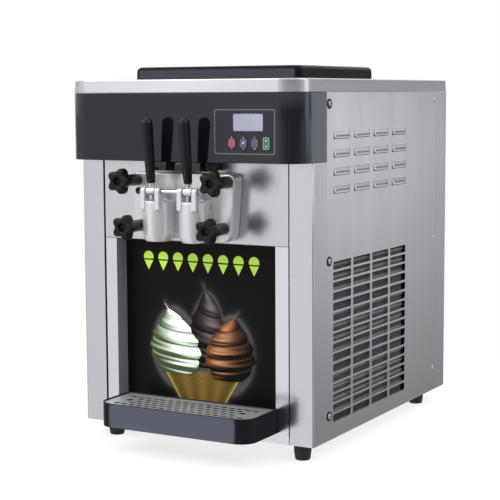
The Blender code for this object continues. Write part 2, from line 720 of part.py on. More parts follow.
def barrel_seal():
    """One moulded seal round both cylinder mouths."""
    seal = extruded("barrel_seal", [seal_outline(SEAL_R)], "Y", 0, BARREL_Y0 - GAP, SILICONE)
    bores = [((s * BARREL_X, -0.01, BARREL_Z), 0.05) for s in (-1, 1)]
    cut(seal, rods("seal_bores", bores, BARREL_BORE, "Y", segments=24))


def valve_pistons():
    """Pistons with O-ring grooves, and a slot at the top for the lever's tongue."""
    groove_w = 0.003
    groove_d = 0.002
    height = PISTON_Z1 - PISTON_Z0
    slot_half = 0.0048
    tip_z = PIVOT_Z - ARM_LEN * math.sin(ARM_DROP)
    mouth_z = (tip_z + PIVOT_Z) / 2
    for side, x in valve_places().items():
        profile = [(0, height), (PISTON_R - 0.001, height), (PISTON_R, height - 0.001)]
        for groove in (0.048, 0.008):
            profile += [(PISTON_R, groove + groove_w), (PISTON_R - groove_d, groove + groove_w),
                        (PISTON_R - groove_d, groove), (PISTON_R, groove)]
        profile += [(PISTON_R, 0), (0, 0)]
        piston = turned(f"valve_piston_{side}", profile, (x, VALVE_Y, PISTON_Z0), "Z", WHITE_PLASTIC)
        slot_x = (x - slot_half, x + slot_half)
        slot = box(f"piston_slot_{side}", slot_x, (VALVE_Y - 0.02, VALVE_Y + 0.02),
                   (tip_z - 0.005, tip_z + 0.005))
        mouth = box(f"piston_mouth_{side}", slot_x, (VALVE_Y - 0.02, VALVE_Y - 0.003),
                    (tip_z - 0.0125, mouth_z + 0.0075))
        cut(piston, slot, mouth)


def levers():
    """Draw levers: hub, tongue that lifts the piston, shank and moulded grip."""
    tongue_half = 0.004
    tongue_t = 0.0022
    tip_r = 0.0042
    shank_r = 0.0048
    shank_end = 0.070
    tongue_dir = Vector((math.cos(ARM_DROP), -math.sin(ARM_DROP)))
    across = Vector((-tongue_dir.y, tongue_dir.x)) * tongue_t
    end = Vector((PIVOT_Y, PIVOT_Z)) + tongue_dir * ARM_LEN
    root = Vector((PIVOT_Y, PIVOT_Z)) + tongue_dir * 0.005
    for side, x in valve_places().items():
        pivot = Vector((x, PIVOT_Y, PIVOT_Z))
        lean = Matrix.Translation(pivot) @ Matrix.Rotation(LEAN, 4, "X")
        hub = rod(f"lever_{side}", (x - HUB_HALF, PIVOT_Y, PIVOT_Z), 2 * HUB_HALF, 0.0078, "X", STEEL)
        bar = [root - across, end - across, end + across, root + across]
        join(hub, extruded(f"tongue_{side}", [bar], "X", x - tongue_half, x + tongue_half))
        join(hub, rod(f"tongue_tip_{side}", (x - tongue_half, end.x, end.y), 2 * tongue_half, tip_r,
                      "X", segments=10))
        shank = rod(f"shank_{side}", (0, 0, 0.004), shank_end - 0.004, shank_r, "Z")
        shank.matrix_local = lean
        join(hub, shank)
        cut(hub, rod(f"lever_bore_{side}", (x - 0.02, PIVOT_Y, PIVOT_Z), 0.04, PIN_R + GAP, "X",
                     segments=12))
        apply_modifiers(hub)
        set_origin(hub, pivot)

        bore_r = 0.0052
        low = GRIP_FROM
        top = GRIP_TO
        profile = [(0, top), (0.0045, top - 0.0008), (0.0085, top - 0.0035), (0.0106, top - 0.0080),
                   (0.0112, top - 0.0140), (0.0108, top - 0.050), (0.0088, low + 0.006),
                   (0.0080, low), (bore_r, low), (bore_r, shank_end + 0.0005),
                   (0, shank_end + 0.0005)]
        grip = turned(f"lever_grip_{side}", profile, (0, 0, 0), "Z", BLACK_PLASTIC, segments=16)
        grip.matrix_local = lean


def lever_pin():
    """One pin through both levers, with a black cap at its left end."""
    cap_len = 0.010
    cap_r = 0.0065
    pin = rod("lever_pivot_pin", (PIN_X0, PIVOT_Y, PIVOT_Z), PIN_X1 - PIN_X0, PIN_R, "X", STEEL,
              segments=12)
    join(pin, rod("pin_cap", (PIN_X0 - 0.007, PIVOT_Y, PIVOT_Z), cap_len, cap_r, "X", segments=12))


def star_knobs():
    lobes = 5
    root_r = 0.0185
    lobe_r = 0.0255
    neck_r = 0.0115
    dimple_r = 0.0105
    dimple_d = 0.0025
    steps = 30
    outline = []
    for step in range(steps):
        angle = math.tau * step / steps
        wave = 0.5 + 0.5 * math.cos(lobes * angle)
        radius = root_r + (lobe_r - root_r) * wave ** 0.8
        outline.append((radius * math.cos(angle), radius * math.sin(angle)))
    back = KNOB_FRONT + KNOB_HEAD_T
    neck_y = back - 0.002
    for place, (x, z) in knob_places().items():
        shifted = [(x + u, z + v) for u, v in outline]
        knob = extruded(f"star_knob_{place}", [shifted], "Y", KNOB_FRONT, back, BLACK_PLASTIC)
        join(knob, rod(f"neck_{place}", (x, neck_y, z), -HEAD_FACE - GAP - neck_y, neck_r, "Y"))
        cut(knob, rod(f"dimple_{place}", (x, KNOB_FRONT - THROUGH, z), THROUGH + dimple_d, dimple_r,
                      "Y"))
        cut(knob, rod(f"thread_{place}", (x, STUD_END_Y - GAP * 2, z), 0.1, STUD_R + GAP, "Y",
                      segments=8))
        apply_modifiers(knob)
        set_origin(knob, (x, KNOB_FRONT, z))


# ---- drip tray ----------------------------------------------------------------------------
def tray_hooks():
    """Two tongues on the tray's back that slide into slots in the lower front plate."""
    half_w = 0.010
    return [((TRAY_X + dx - half_w, TRAY_X + dx + half_w), (-0.002, 0.012),
             (TRAY_Z0, TRAY_Z0 + TRAY_WALL)) for dx in (-0.10, 0.10)]


def tray_outline(inset, y1):
    return front_rounded(TRAY_X0 + inset, TRAY_X1 - inset, TRAY_Y0 + inset, y1, TRAY_R - inset)


def drip_tray():
    wall = TRAY_WALL
    ledge = 0.0042
    seat = TRAY_Z1 - 0.0042
    tray = extruded("drip_tray", [tray_outline(0, -GAP)], "Z", TRAY_Z0, TRAY_Z1, BLACK_GLOSS,
                    smooth=True)
    cut(tray, extruded("tray_pocket", [tray_outline(wall + ledge, -GAP - wall - ledge)], "Z",
                       TRAY_Z0 + wall, TRAY_Z1 + THROUGH))
    cut(tray, extruded("grate_seat", [tray_outline(wall, -GAP - wall)], "Z", seat,
                       TRAY_Z1 + THROUGH))
    join(tray, boxes("hooks", tray_hooks()))
    set_origin(tray, (TRAY_X, 0, TRAY_Z0))

    inset = wall + 2 * GAP
    grate_z = (seat + GAP, seat + GAP + SHEET)
    grate = extruded("drip_grate", [tray_outline(inset, -inset - GAP)], "Z", *grate_z, STEEL)
    slot_half_x = 0.012
    slot_half_y = 0.004
    pitch_x = 0.034
    pitch_y = 0.0215
    through = (seat - THROUGH, seat + THROUGH)
    slots = []
    for row in range(4):
        y = -0.087 + row * pitch_y
        columns = 7 - row % 2
        for column in range(columns):
            x = TRAY_X + (column - (columns - 1) / 2) * pitch_x
            slots.append(((x - slot_half_x, x + slot_half_x), (y - slot_half_y, y + slot_half_y),
                          through))
    cut(grate, boxes("grate_slots", slots))
    holes = [((TRAY_X + dx, FINGER_HOLE_Y, seat - THROUGH), 2 * THROUGH)
             for dx in (-FINGER_HOLE_DX, FINGER_HOLE_DX)]
    cut(grate, rods("finger_holes", holes, FINGER_HOLE_R, "Z", segments=12))
    set_origin(grate, (TRAY_X, 0, seat))


# ---- drive and refrigeration --------------------------------------------------------------
def bearing_carrier():
    """Cast bracket behind the cylinders, with a bearing for each beater shaft."""
    outline = rectangle(-0.092, 0.092, BARREL_Z - 0.036, BARREL_Z + 0.036, 0.020)
    carrier = extruded("bearing_carrier", [outline], "Y", BARREL_Y1 + 0.004, PULLEY_Y0 - 0.010,
                       ALUMINIUM)
    shafts = [((s * BARREL_X, 0.2, BARREL_Z), 0.3) for s in (-1, 1)]
    cut(carrier, rods("bearing_bores", shafts, SHAFT_R + GAP, "Y"))


def pulley(name, x, z, radius, bore, y0=PULLEY_Y0, y1=PULLEY_Y1):
    rim = 0.0035
    wall = 0.002
    width = y1 - y0
    profile = [(bore, width), (radius + rim, width), (radius + rim, width - wall),
               (radius, width - wall), (radius, wall), (radius + rim, wall), (radius + rim, 0),
               (bore, 0)]
    return turned(name, profile, (x, y0, z), "Y", ALUMINIUM, segments=20)


def drive():
    for side, sign in (("left", -1), ("right", 1)):
        pulley(f"beater_pulley_{side}", sign * BARREL_X, BARREL_Z, PULLEY_R, SHAFT_R + GAP)
    pulley("motor_pulley", 0, MOTOR_Z, MOTOR_PULLEY_R, SHAFT_R + GAP)

    circles = [(-BARREL_X, BARREL_Z, PULLEY_R), (0, MOTOR_Z, MOTOR_PULLEY_R),
               (BARREL_X, BARREL_Z, PULLEY_R)]
    y0 = PULLEY_Y0 + 0.0025
    y1 = PULLEY_Y1 - 0.0025
    extruded("drive_belt", [around(circles, GAP * 2 + BELT_T), around(circles, GAP * 2)], "Y", y0, y1,
             RUBBER)

    body_y0 = PULLEY_Y1 + 0.012
    length = 0.150
    motor = rod("beater_motor", (0, body_y0, MOTOR_Z), length, 0.056, "Y", MOTOR_PAINT, segments=24)
    join(motor, rod("motor_shaft", (0, PULLEY_Y0 - 0.002, MOTOR_Z), 0.05, SHAFT_R, "Y"))
    post_x = 0.045
    plate = 0.004
    join(motor, box("motor_stand", (-post_x, post_x), (body_y0 + 0.03, body_y0 + 0.14),
                    (PAN_TOP, MOTOR_Z - 0.03)))
    cut(motor, box("stand_space", (-post_x + plate, post_x - plate), (0, 1),
                   (PAN_TOP + plate, MOTOR_Z - 0.075)))


def around(circles, offset):
    """Outline of a belt round circles listed anticlockwise, offset from them."""
    arc_steps = 8
    outline = []
    count = len(circles)
    for i, (u, v, r) in enumerate(circles):
        bounds = []
        for a, b in ((circles[i - 1], circles[i]), (circles[i], circles[(i + 1) % count])):
            du = b[0] - a[0]
            dv = b[1] - a[1]
            heading = math.atan2(dv, du)
            tilt = math.asin((b[2] - a[2]) / math.hypot(du, dv))
            bounds.append(heading - math.pi / 2 - tilt)
        sweep = (bounds[1] - bounds[0]) % math.tau
        for step in range(arc_steps + 1):
            angle = bounds[0] + sweep * step / arc_steps
            outline.append((u + (r + offset) * math.cos(angle), v + (r + offset) * math.sin(angle)))
    return outline


def refrigeration():
    pot = [(0, 0.160), (0.030, 0.157), (0.052, 0.145), (0.062, 0.120), (0.064, 0.082),
           (0.066, 0.082), (0.066, 0.076), (0.064, 0.076), (0.062, 0.035), (0.050, 0.012),
           (0.075, 0.010), (0.075, 0), (0, 0)]
    turned("compressor", pot, (-0.135, 0.290, PAN_TOP), "Z", PAINT, segments=20)

    coil = box("condenser", (CONDENSER_X0, CONDENSER_X1), (CONDENSER_Y0, CONDENSER_Y1),
               (PAN_TOP, CONDENSER_Z1), ALUMINIUM)
    depth = 0.018
    width = 0.020
    pitch = 0.0268
    frame = 0.010
    fins = 13
    grooves = []
    for side in ((CONDENSER_X0 - THROUGH, CONDENSER_X0 + depth),
                 (CONDENSER_X1 - depth, CONDENSER_X1 + THROUGH)):
        for i in range(fins):
            y = CONDENSER_Y0 + frame + i * pitch
            grooves.append((side, (y, y + width), (PAN_TOP + 2 * frame, CONDENSER_Z1 - frame)))
    cut(coil, boxes("fin_gaps", grooves))


def condenser_fan():
    """Fan that draws air through the condenser, and its motor on a post."""
    shaft_r = 0.004
    hub_r = 0.024
    hub_len = 0.022
    reach = 0.098
    place = (FAN_X, FAN_Y, FAN_Z)
    fan = rod("fan_blade", (FAN_X - hub_len / 2, FAN_Y, FAN_Z), hub_len, hub_r, "X", BLACK_PLASTIC)
    blades = 5
    for i in range(blades):
        blade = box(f"blade_{i}", (-0.002, 0.002), (-0.022, 0.022), (0.015, reach))
        blade.matrix_local = (Matrix.Translation(place)
                              @ Matrix.Rotation(math.tau * i / blades, 4, "X")
                              @ Matrix.Rotation(math.radians(25), 4, "Z"))
        join(fan, blade)
    cut(fan, rod("fan_bore", (FAN_X - 0.06, FAN_Y, FAN_Z), 0.075, shaft_r + GAP, "X", segments=10))
    apply_modifiers(fan)
    set_origin(fan, place)

    length = 0.052
    motor_x = FAN_X - 0.076
    motor = rod("fan_motor", (motor_x, FAN_Y, FAN_Z), length, 0.036, "X", MOTOR_PAINT, segments=20)
    join(motor, rod("fan_shaft", (motor_x + length - 0.007, FAN_Y, FAN_Z), 0.032, shaft_r, "X",
                    segments=10))
    join(motor, box("fan_post", (motor_x + 0.010, motor_x + 0.040), (FAN_Y - 0.015, FAN_Y + 0.015),
                    (PAN_TOP, FAN_Z - 0.02)))


for build in (base_pan, front_columns, front_plates, splash_recess, side_covers, back_cover,
              top_cover, control_panel, lever_switch_cover, feet, hoppers, hopper_lid,
              freezing_cylinders, cylinder_insulation, beaters, flange_plate, dispensing_head,
              barrel_seal, valve_pistons, levers, lever_pin, star_knobs, drip_tray,
              bearing_carrier, drive, refrigeration, condenser_fan):
    build()
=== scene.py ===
"""Looks for the countertop soft-serve ice cream maker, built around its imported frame."""
import json
import math
from typing import NamedTuple

import bmesh
import bpy
import numpy as np
from mathutils import Matrix, Vector


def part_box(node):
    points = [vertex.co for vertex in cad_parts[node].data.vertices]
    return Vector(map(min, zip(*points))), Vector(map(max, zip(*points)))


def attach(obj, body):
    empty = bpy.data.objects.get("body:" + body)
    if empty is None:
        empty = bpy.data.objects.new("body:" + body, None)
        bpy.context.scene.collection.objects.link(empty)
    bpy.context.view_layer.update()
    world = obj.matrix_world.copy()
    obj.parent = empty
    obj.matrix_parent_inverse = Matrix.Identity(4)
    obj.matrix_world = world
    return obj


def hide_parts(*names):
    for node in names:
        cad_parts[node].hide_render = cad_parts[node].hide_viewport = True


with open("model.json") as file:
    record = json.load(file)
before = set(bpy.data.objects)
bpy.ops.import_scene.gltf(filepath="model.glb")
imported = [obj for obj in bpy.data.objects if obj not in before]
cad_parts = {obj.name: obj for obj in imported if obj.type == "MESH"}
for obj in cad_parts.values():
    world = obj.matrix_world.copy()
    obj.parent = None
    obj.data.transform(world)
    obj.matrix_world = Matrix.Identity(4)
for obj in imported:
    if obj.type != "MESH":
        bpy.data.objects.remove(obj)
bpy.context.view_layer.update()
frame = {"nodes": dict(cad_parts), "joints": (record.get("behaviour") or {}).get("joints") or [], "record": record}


def low(node):
    return Vector(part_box(node)[0])


def high(node):
    return Vector(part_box(node)[1])


def middle(node):
    return (low(node) + high(node)) / 2


def corners(node):
    return low(node), high(node)


FRONT = low("front_plate_upper").y          # plane of the front plates
PANEL_FACE = low("control_panel").y
SIDE = high("front_column_right").x
SHEET = 0.0015              # steel of the covers and columns
BIG_CORNER = 0.045          # front corners of the top cover and the control panel


# ---- camera and light ---------------------------------------------------------------------
CAMERA_PLACE = (1.4091, FRONT - 2.2781, 0.6909)
CAMERA_TURN = (29.398, 6.400, -0.296)       # yaw, pitch and roll in degrees
CAMERA_LENS = 100.2                         # mm, on a 36 mm sensor


def add_camera():
    yaw, pitch, roll = (math.radians(angle) for angle in CAMERA_TURN)
    ahead = Vector((-math.sin(yaw) * math.cos(pitch), math.cos(yaw) * math.cos(pitch),
                    -math.sin(pitch)))
    right = Vector((math.cos(yaw), math.sin(yaw), 0))
    up = right.cross(ahead)
    turned_right = math.cos(roll) * right + math.sin(roll) * up
    turned_up = math.cos(roll) * up - math.sin(roll) * right
    data = bpy.data.cameras.new("camera")
    data.lens = CAMERA_LENS
    data.sensor_width = 36
    camera = bpy.data.objects.new("camera", data)
    axes = Matrix((turned_right, turned_up, -ahead)).transposed().to_4x4()
    camera.matrix_world = Matrix.Translation(CAMERA_PLACE) @ axes
    bpy.context.scene.collection.objects.link(camera)
    bpy.context.scene.camera = camera


def feed(tree, socket, value):
    """Link an output to a socket, or give the socket a value of its own."""
    if isinstance(value, bpy.types.NodeSocket):
        tree.links.new(value, socket)
    else:
        socket.default_value = value


def math_node(tree, operation, first, second, clamp=False):
    node = tree.nodes.new("ShaderNodeMath")
    node.operation = operation
    node.use_clamp = clamp
    feed(tree, node.inputs[0], first)
    feed(tree, node.inputs[1], second)
    return node.outputs[0]


def map_range(tree, source, from_min, from_max, to_min=0.0, to_max=1.0, kind="LINEAR"):
    node = tree.nodes.new("ShaderNodeMapRange")
    node.interpolation_type = kind
    for socket, value in zip(node.inputs, (source, from_min, from_max, to_min, to_max)):
        feed(tree, socket, value)
    return node.outputs["Result"]


def colour_ramp(tree, source, stops):
    """Colour ramp; each stop is (position, grey level or colour)."""
    node = tree.nodes.new("ShaderNodeValToRGB")
    while len(node.color_ramp.elements) < len(stops):
        node.color_ramp.elements.new(0.5)
    for element, (position, value) in zip(node.color_ramp.elements, stops):
        element.position = position
        colour = (value, value, value) if isinstance(value, (int, float)) else value
        element.color = (*colour, 1)
    tree.links.new(source, node.inputs["Fac"])
    return node.outputs["Color"]


WORLD_MOST = 3.0            # brightest level that the ramps can give
OVERHEAD = 1.15             # level of the plain white above
BLENDS = ((-0.22, -0.04), (0.012, 0.045), (0.11, 0.26))     # heights where one level meets the next
# What upright surfaces reflect: well below the horizon, just below it, and just above it.
# Azimuth runs from straight ahead of the machine (-Y) towards +X.
DEEP_STOPS = [(-178, 0.80), (-122, 0.70), (-112, 0.45), (-84, 0.45), (-64, 0.82), (-36, 0.86),
              (-28, 1.05), (-22, 0.95), (-8, 0.62), (14, 0.35), (44, 0.28), (74, 0.34), (86, 0.60),
              (112, 0.60), (128, 0.60), (133, 0.35), (152, 0.28), (155, 0.42), (160, 0.22), (179, 0.2)]
LOW_STOPS = [(-178, 1.10), (-122, 1.00), (-112, 0.45), (-84, 0.45), (-64, 0.82), (-36, 0.86),
             (-28, 1.08), (-22, 0.95), (-8, 0.62), (14, 0.35), (44, 0.26), (74, 0.32), (86, 0.60),
             (104, 0.80), (114, 1.00), (116, 1.60), (122, 1.60), (124, 1.00), (133, 0.80), (152, 0.84),
             (155, 1.12), (160, 0.36), (179, 0.3)]
HIGH_STOPS = [(-178, 1.3), (-122, 1.1), (-110, 0.9), (-70, 0.95), (-36, 1.0), (-34.5, 2.1),
              (-31.5, 2.1), (-29, 1.15), (-24, 0.85), (-6, 0.45), (20, 0.26), (70, 0.24), (98, 0.5),
              (109, 1.4), (116, 1.6), (122, 1.6), (128, 0.8), (134, 0.26), (162, 0.26), (179, 0.4)]


def add_world():
    """White studio with dark and bright stretches that the steel and the gloss reflect.

    What the camera sees directly is plain white.
    """
    world = bpy.data.worlds.new("studio")
    bpy.context.scene.world = world
    world.use_nodes = True
    tree = world.node_tree
    coords = tree.nodes.new("ShaderNodeTexCoord")
    parts = tree.nodes.new("ShaderNodeSeparateXYZ")
    tree.links.new(coords.outputs["Generated"], parts.inputs[0])
    ahead = math_node(tree, "MULTIPLY", parts.outputs["Y"], -1)
    azimuth = math_node(tree, "ARCTAN2", parts.outputs["X"], ahead)
    turn = map_range(tree, azimuth, -math.pi, math.pi)
    level, below, above = (
        colour_ramp(tree, turn, [((angle + 180) / 360, light / WORLD_MOST) for angle, light in stops])
        for stops in (DEEP_STOPS, LOW_STOPS, HIGH_STOPS))
    white = tree.nodes.new("ShaderNodeRGB")
    white.outputs[0].default_value = (OVERHEAD / WORLD_MOST,) * 3 + (1,)
    for (z0, z1), upper in zip(BLENDS, (below, above, white.outputs[0])):
        mix = tree.nodes.new("ShaderNodeMix")
        mix.data_type = "RGBA"
        tree.links.new(map_range(tree, parts.outputs["Z"], z0, z1), mix.inputs["Factor"])
        tree.links.new(level, mix.inputs["A"])
        tree.links.new(upper, mix.inputs["B"])
        level = mix.outputs["Result"]
    background = tree.nodes["Background"]
    background.inputs["Strength"].default_value = WORLD_MOST
    tree.links.new(level, background.inputs["Color"])
    backdrop = tree.nodes.new("ShaderNodeBackground")
    backdrop.inputs["Color"].default_value = (1, 1, 1, 1)
    rays = tree.nodes.new("ShaderNodeLightPath")
    choose = tree.nodes.new("ShaderNodeMixShader")
    shaders = (rays.outputs["Is Camera Ray"], background.outputs[0], backdrop.outputs[0])
    for source, socket in zip(shaders, choose.inputs):
        tree.links.new(source, socket)
    tree.links.new(choose.outputs[0], tree.nodes["World Output"].inputs["Surface"])


FLOOR_RADIUS = 1.3
FLOOR_FADE = (0.55, 1.15)   # distances from the middle between which the floor fades out


def add_lights():
    scene = bpy.context.scene
    scene.view_settings.view_transform = "Standard"
    for name, place, aim, size, power in (
            ("key_light", (-1.5, FRONT - 1.9, 2.3), (0, FRONT, 0.45), 1.3, 24),
            ("side_light", (2.6, FRONT + 0.4, 2.4), (SIDE, FRONT + 0.3, 0.4), 1.5, 16)):
        data = bpy.data.lights.new(name, "AREA")
        data.size = size
        data.energy = power
        light = bpy.data.objects.new(name, data)
        light.location = place
        light.rotation_euler = (Vector(aim) - Vector(place)).to_track_quat("-Z", "Y").to_euler()
        scene.collection.objects.link(light)


def add_floor():
    """White floor that fades out around the machine, so that it has no visible edge.

    Reflections see the studio in its place.
    """
    bm = bmesh.new()
    bmesh.ops.create_circle(bm, cap_ends=True, segments=96, radius=FLOOR_RADIUS)
    floor = mesh_object("floor", bm)
    floor.location.z = -0.0002
    bpy.context.scene.collection.objects.link(floor)
    shader = Shader("floor_white", (0.30, 0.30, 0.30), 0.8, Specular_IOR_Level=0.0,
                    Emission_Color=(1, 1, 1, 1), Emission_Strength=0.76)
    tree = shader.tree
    distance = tree.nodes.new("ShaderNodeVectorMath")
    distance.operation = "LENGTH"
    tree.links.new(shader.coords, distance.inputs[0])
    fade = map_range(tree, distance.outputs["Value"], *FLOOR_FADE, 1.0, 0.0, "SMOOTHSTEP")
    rays = tree.nodes.new("ShaderNodeLightPath")
    shown = math_node(tree, "SUBTRACT", fade, rays.outputs["Is Glossy Ray"], True)
    tree.links.new(shown, shader.main.inputs["Alpha"])
    floor.data.materials.append(shader.material)


# ---- materials ----------------------------------------------------------------------------


class Shader:
    """A Principled material and short ways to add nodes to it."""

    def __init__(self, name, colour, roughness, metallic=0.0, **sockets):
        self.material = bpy.data.materials.new(name)
        self.material.use_nodes = True
        self.tree = self.material.node_tree
        self.main = self.tree.nodes["Principled BSDF"]
        self.main.inputs["Base Color"].default_value = (*colour, 1)
        self.main.inputs["Roughness"].default_value = roughness
        self.main.inputs["Metallic"].default_value = metallic
        for socket, value in sockets.items():
            self.main.inputs[socket.replace("_", " ")].default_value = value
        self.coords = self.tree.nodes.new("ShaderNodeTexCoord").outputs["Object"]

    def noise(self, scale, detail=2.0, stretch=(1, 1, 1)):
        mapping = self.tree.nodes.new("ShaderNodeMapping")
        mapping.inputs["Scale"].default_value = stretch
        self.tree.links.new(self.coords, mapping.inputs["Vector"])
        noise = self.tree.nodes.new("ShaderNodeTexNoise")
        noise.inputs["Scale"].default_value = scale
        noise.inputs["Detail"].default_value = detail
        self.tree.links.new(mapping.outputs[0], noise.inputs["Vector"])
        return noise.outputs["Fac"]

    def colour(self, source, *stops):
        """Base colour from a source, by way of a colour ramp if there are stops."""
        if stops:
            source = colour_ramp(self.tree, source, stops)
        self.tree.links.new(source, self.main.inputs["Base Color"])

    def rough(self, source, least, most):
        spread = map_range(self.tree, source, 0.3, 0.7, least, most)
        self.tree.links.new(spread, self.main.inputs["Roughness"])

    def bump(self, source, depth, strength):
        node = self.tree.nodes.new("ShaderNodeBump")
        node.inputs["Distance"].default_value = depth
        node.inputs["Strength"].default_value = strength
        self.tree.links.new(source, node.inputs["Height"])
        self.tree.links.new(node.outputs["Normal"], self.main.inputs["Normal"])


def scaled(colour, factor, added=0.0):
    return tuple(c * factor + added for c in colour)


def brushed(name, colour, grain, roughness=0.2):
    """Stainless sheet. grain is the axis that the brush lines run along."""
    def streaks(across, along, detail):
        return shader.noise(1.0, detail, [along if axis == grain else across for axis in "XYZ"])

    shader = Shader(name, colour, roughness, 1.0)
    lines = streaks(1500.0, 12.0, 3)
    shader.colour(lines, (0.30, scaled(colour, 0.975)), (0.70, colour))
    shader.rough(streaks(16.0, 2.5, 2), roughness - 0.02, roughness + 0.03)
    shader.bump(lines, 0.000012, 0.25)
    return shader.material


def moulded(name, colour, roughness, grain=900, depth=0.00003, **sockets):
    """Moulded plastic or rubber: fine surface grain, slightly uneven tone."""
    shader = Shader(name, colour, roughness, **sockets)
    broad = shader.noise(14)
    shader.colour(broad, (0.35, colour), (0.70, scaled(colour, 1.15, 0.001)))
    shader.rough(broad, roughness - 0.03, roughness + 0.05)
    shader.bump(shader.noise(grain, 3), depth, 0.6)
    return shader.material


def polished(name, colour, roughness, metallic=1.0):
    shader = Shader(name, colour, roughness, metallic)
    broad = shader.noise(22)
    shader.rough(broad, roughness - 0.03, roughness + 0.04)
    shader.colour(broad, (0.35, scaled(colour, 0.97)), (0.65, colour))
    shader.bump(shader.noise(260), 0.00001, 0.4)
    return shader.material


def gloss_with_painted_lit_face(name, axis, painted_light_colour, other, roughness, ramp, specular, tint=(1, 1, 1)):
    """Gloss plastic whose face towards axis (such as -Y) is painted in a lighter tone than the rest: painted light
    and reflection on that face, while the rest keeps the plastic's own colour.
    """
    shader = Shader(name, painted_light_colour, roughness, Specular_IOR_Level=specular,
                    Specular_Tint=(*tint, 1))
    tree = shader.tree
    parts = tree.nodes.new("ShaderNodeSeparateXYZ")
    tree.links.new(tree.nodes.new("ShaderNodeTexCoord").outputs["Normal"], parts.inputs[0])
    toward = math_node(tree, "MULTIPLY", parts.outputs[axis[-1]], -1 if axis[0] == "-" else 1)
    # painted light: the base colour turns lighter where the surface faces axis
    shader.colour(toward, (ramp[0], other), (ramp[1], painted_light_colour))
    shader.bump(shader.noise(80), 0.00001, 0.5)
    return shader.material


def display_glass():
    shader = Shader("display_glass", (0.42, 0.42, 0.55), 0.08, Coat_Weight=0.5)
    shader.colour(shader.noise(20), (0.3, (0.36, 0.37, 0.52)), (0.7, (0.47, 0.46, 0.58)))
    return shader.material


def printed_picture():
    """Ink on film: the colour comes from the picture's own colour layer. The film also glows in that colour at
    strength 0.60, painted light that lifts it out of the recess's shade.
    """
    shader = Shader("printed_picture", (0.5, 0.5, 0.5), 0.5, Specular_IOR_Level=0.12,
                    Emission_Strength=0.60)
    tree = shader.tree
    ink = tree.nodes.new("ShaderNodeVertexColor")
    ink.layer_name = PRINT_LAYER
    tint = tree.nodes.new("ShaderNodeMix")
    tint.data_type = "RGBA"
    tint.blend_type = "MULTIPLY"
    tint.inputs["Factor"].default_value = 0.10
    tree.links.new(ink.outputs["Color"], tint.inputs["A"])
    grain = colour_ramp(tree, shader.noise(700), ((0.3, 0.75), (0.7, 1.0)))
    tree.links.new(grain, tint.inputs["B"])
    shader.colour(tint.outputs["Result"])
    # painted light: the print glows in its own colour
    tree.links.new(tint.outputs["Result"], shader.main.inputs["Emission Color"])
    return shader.material


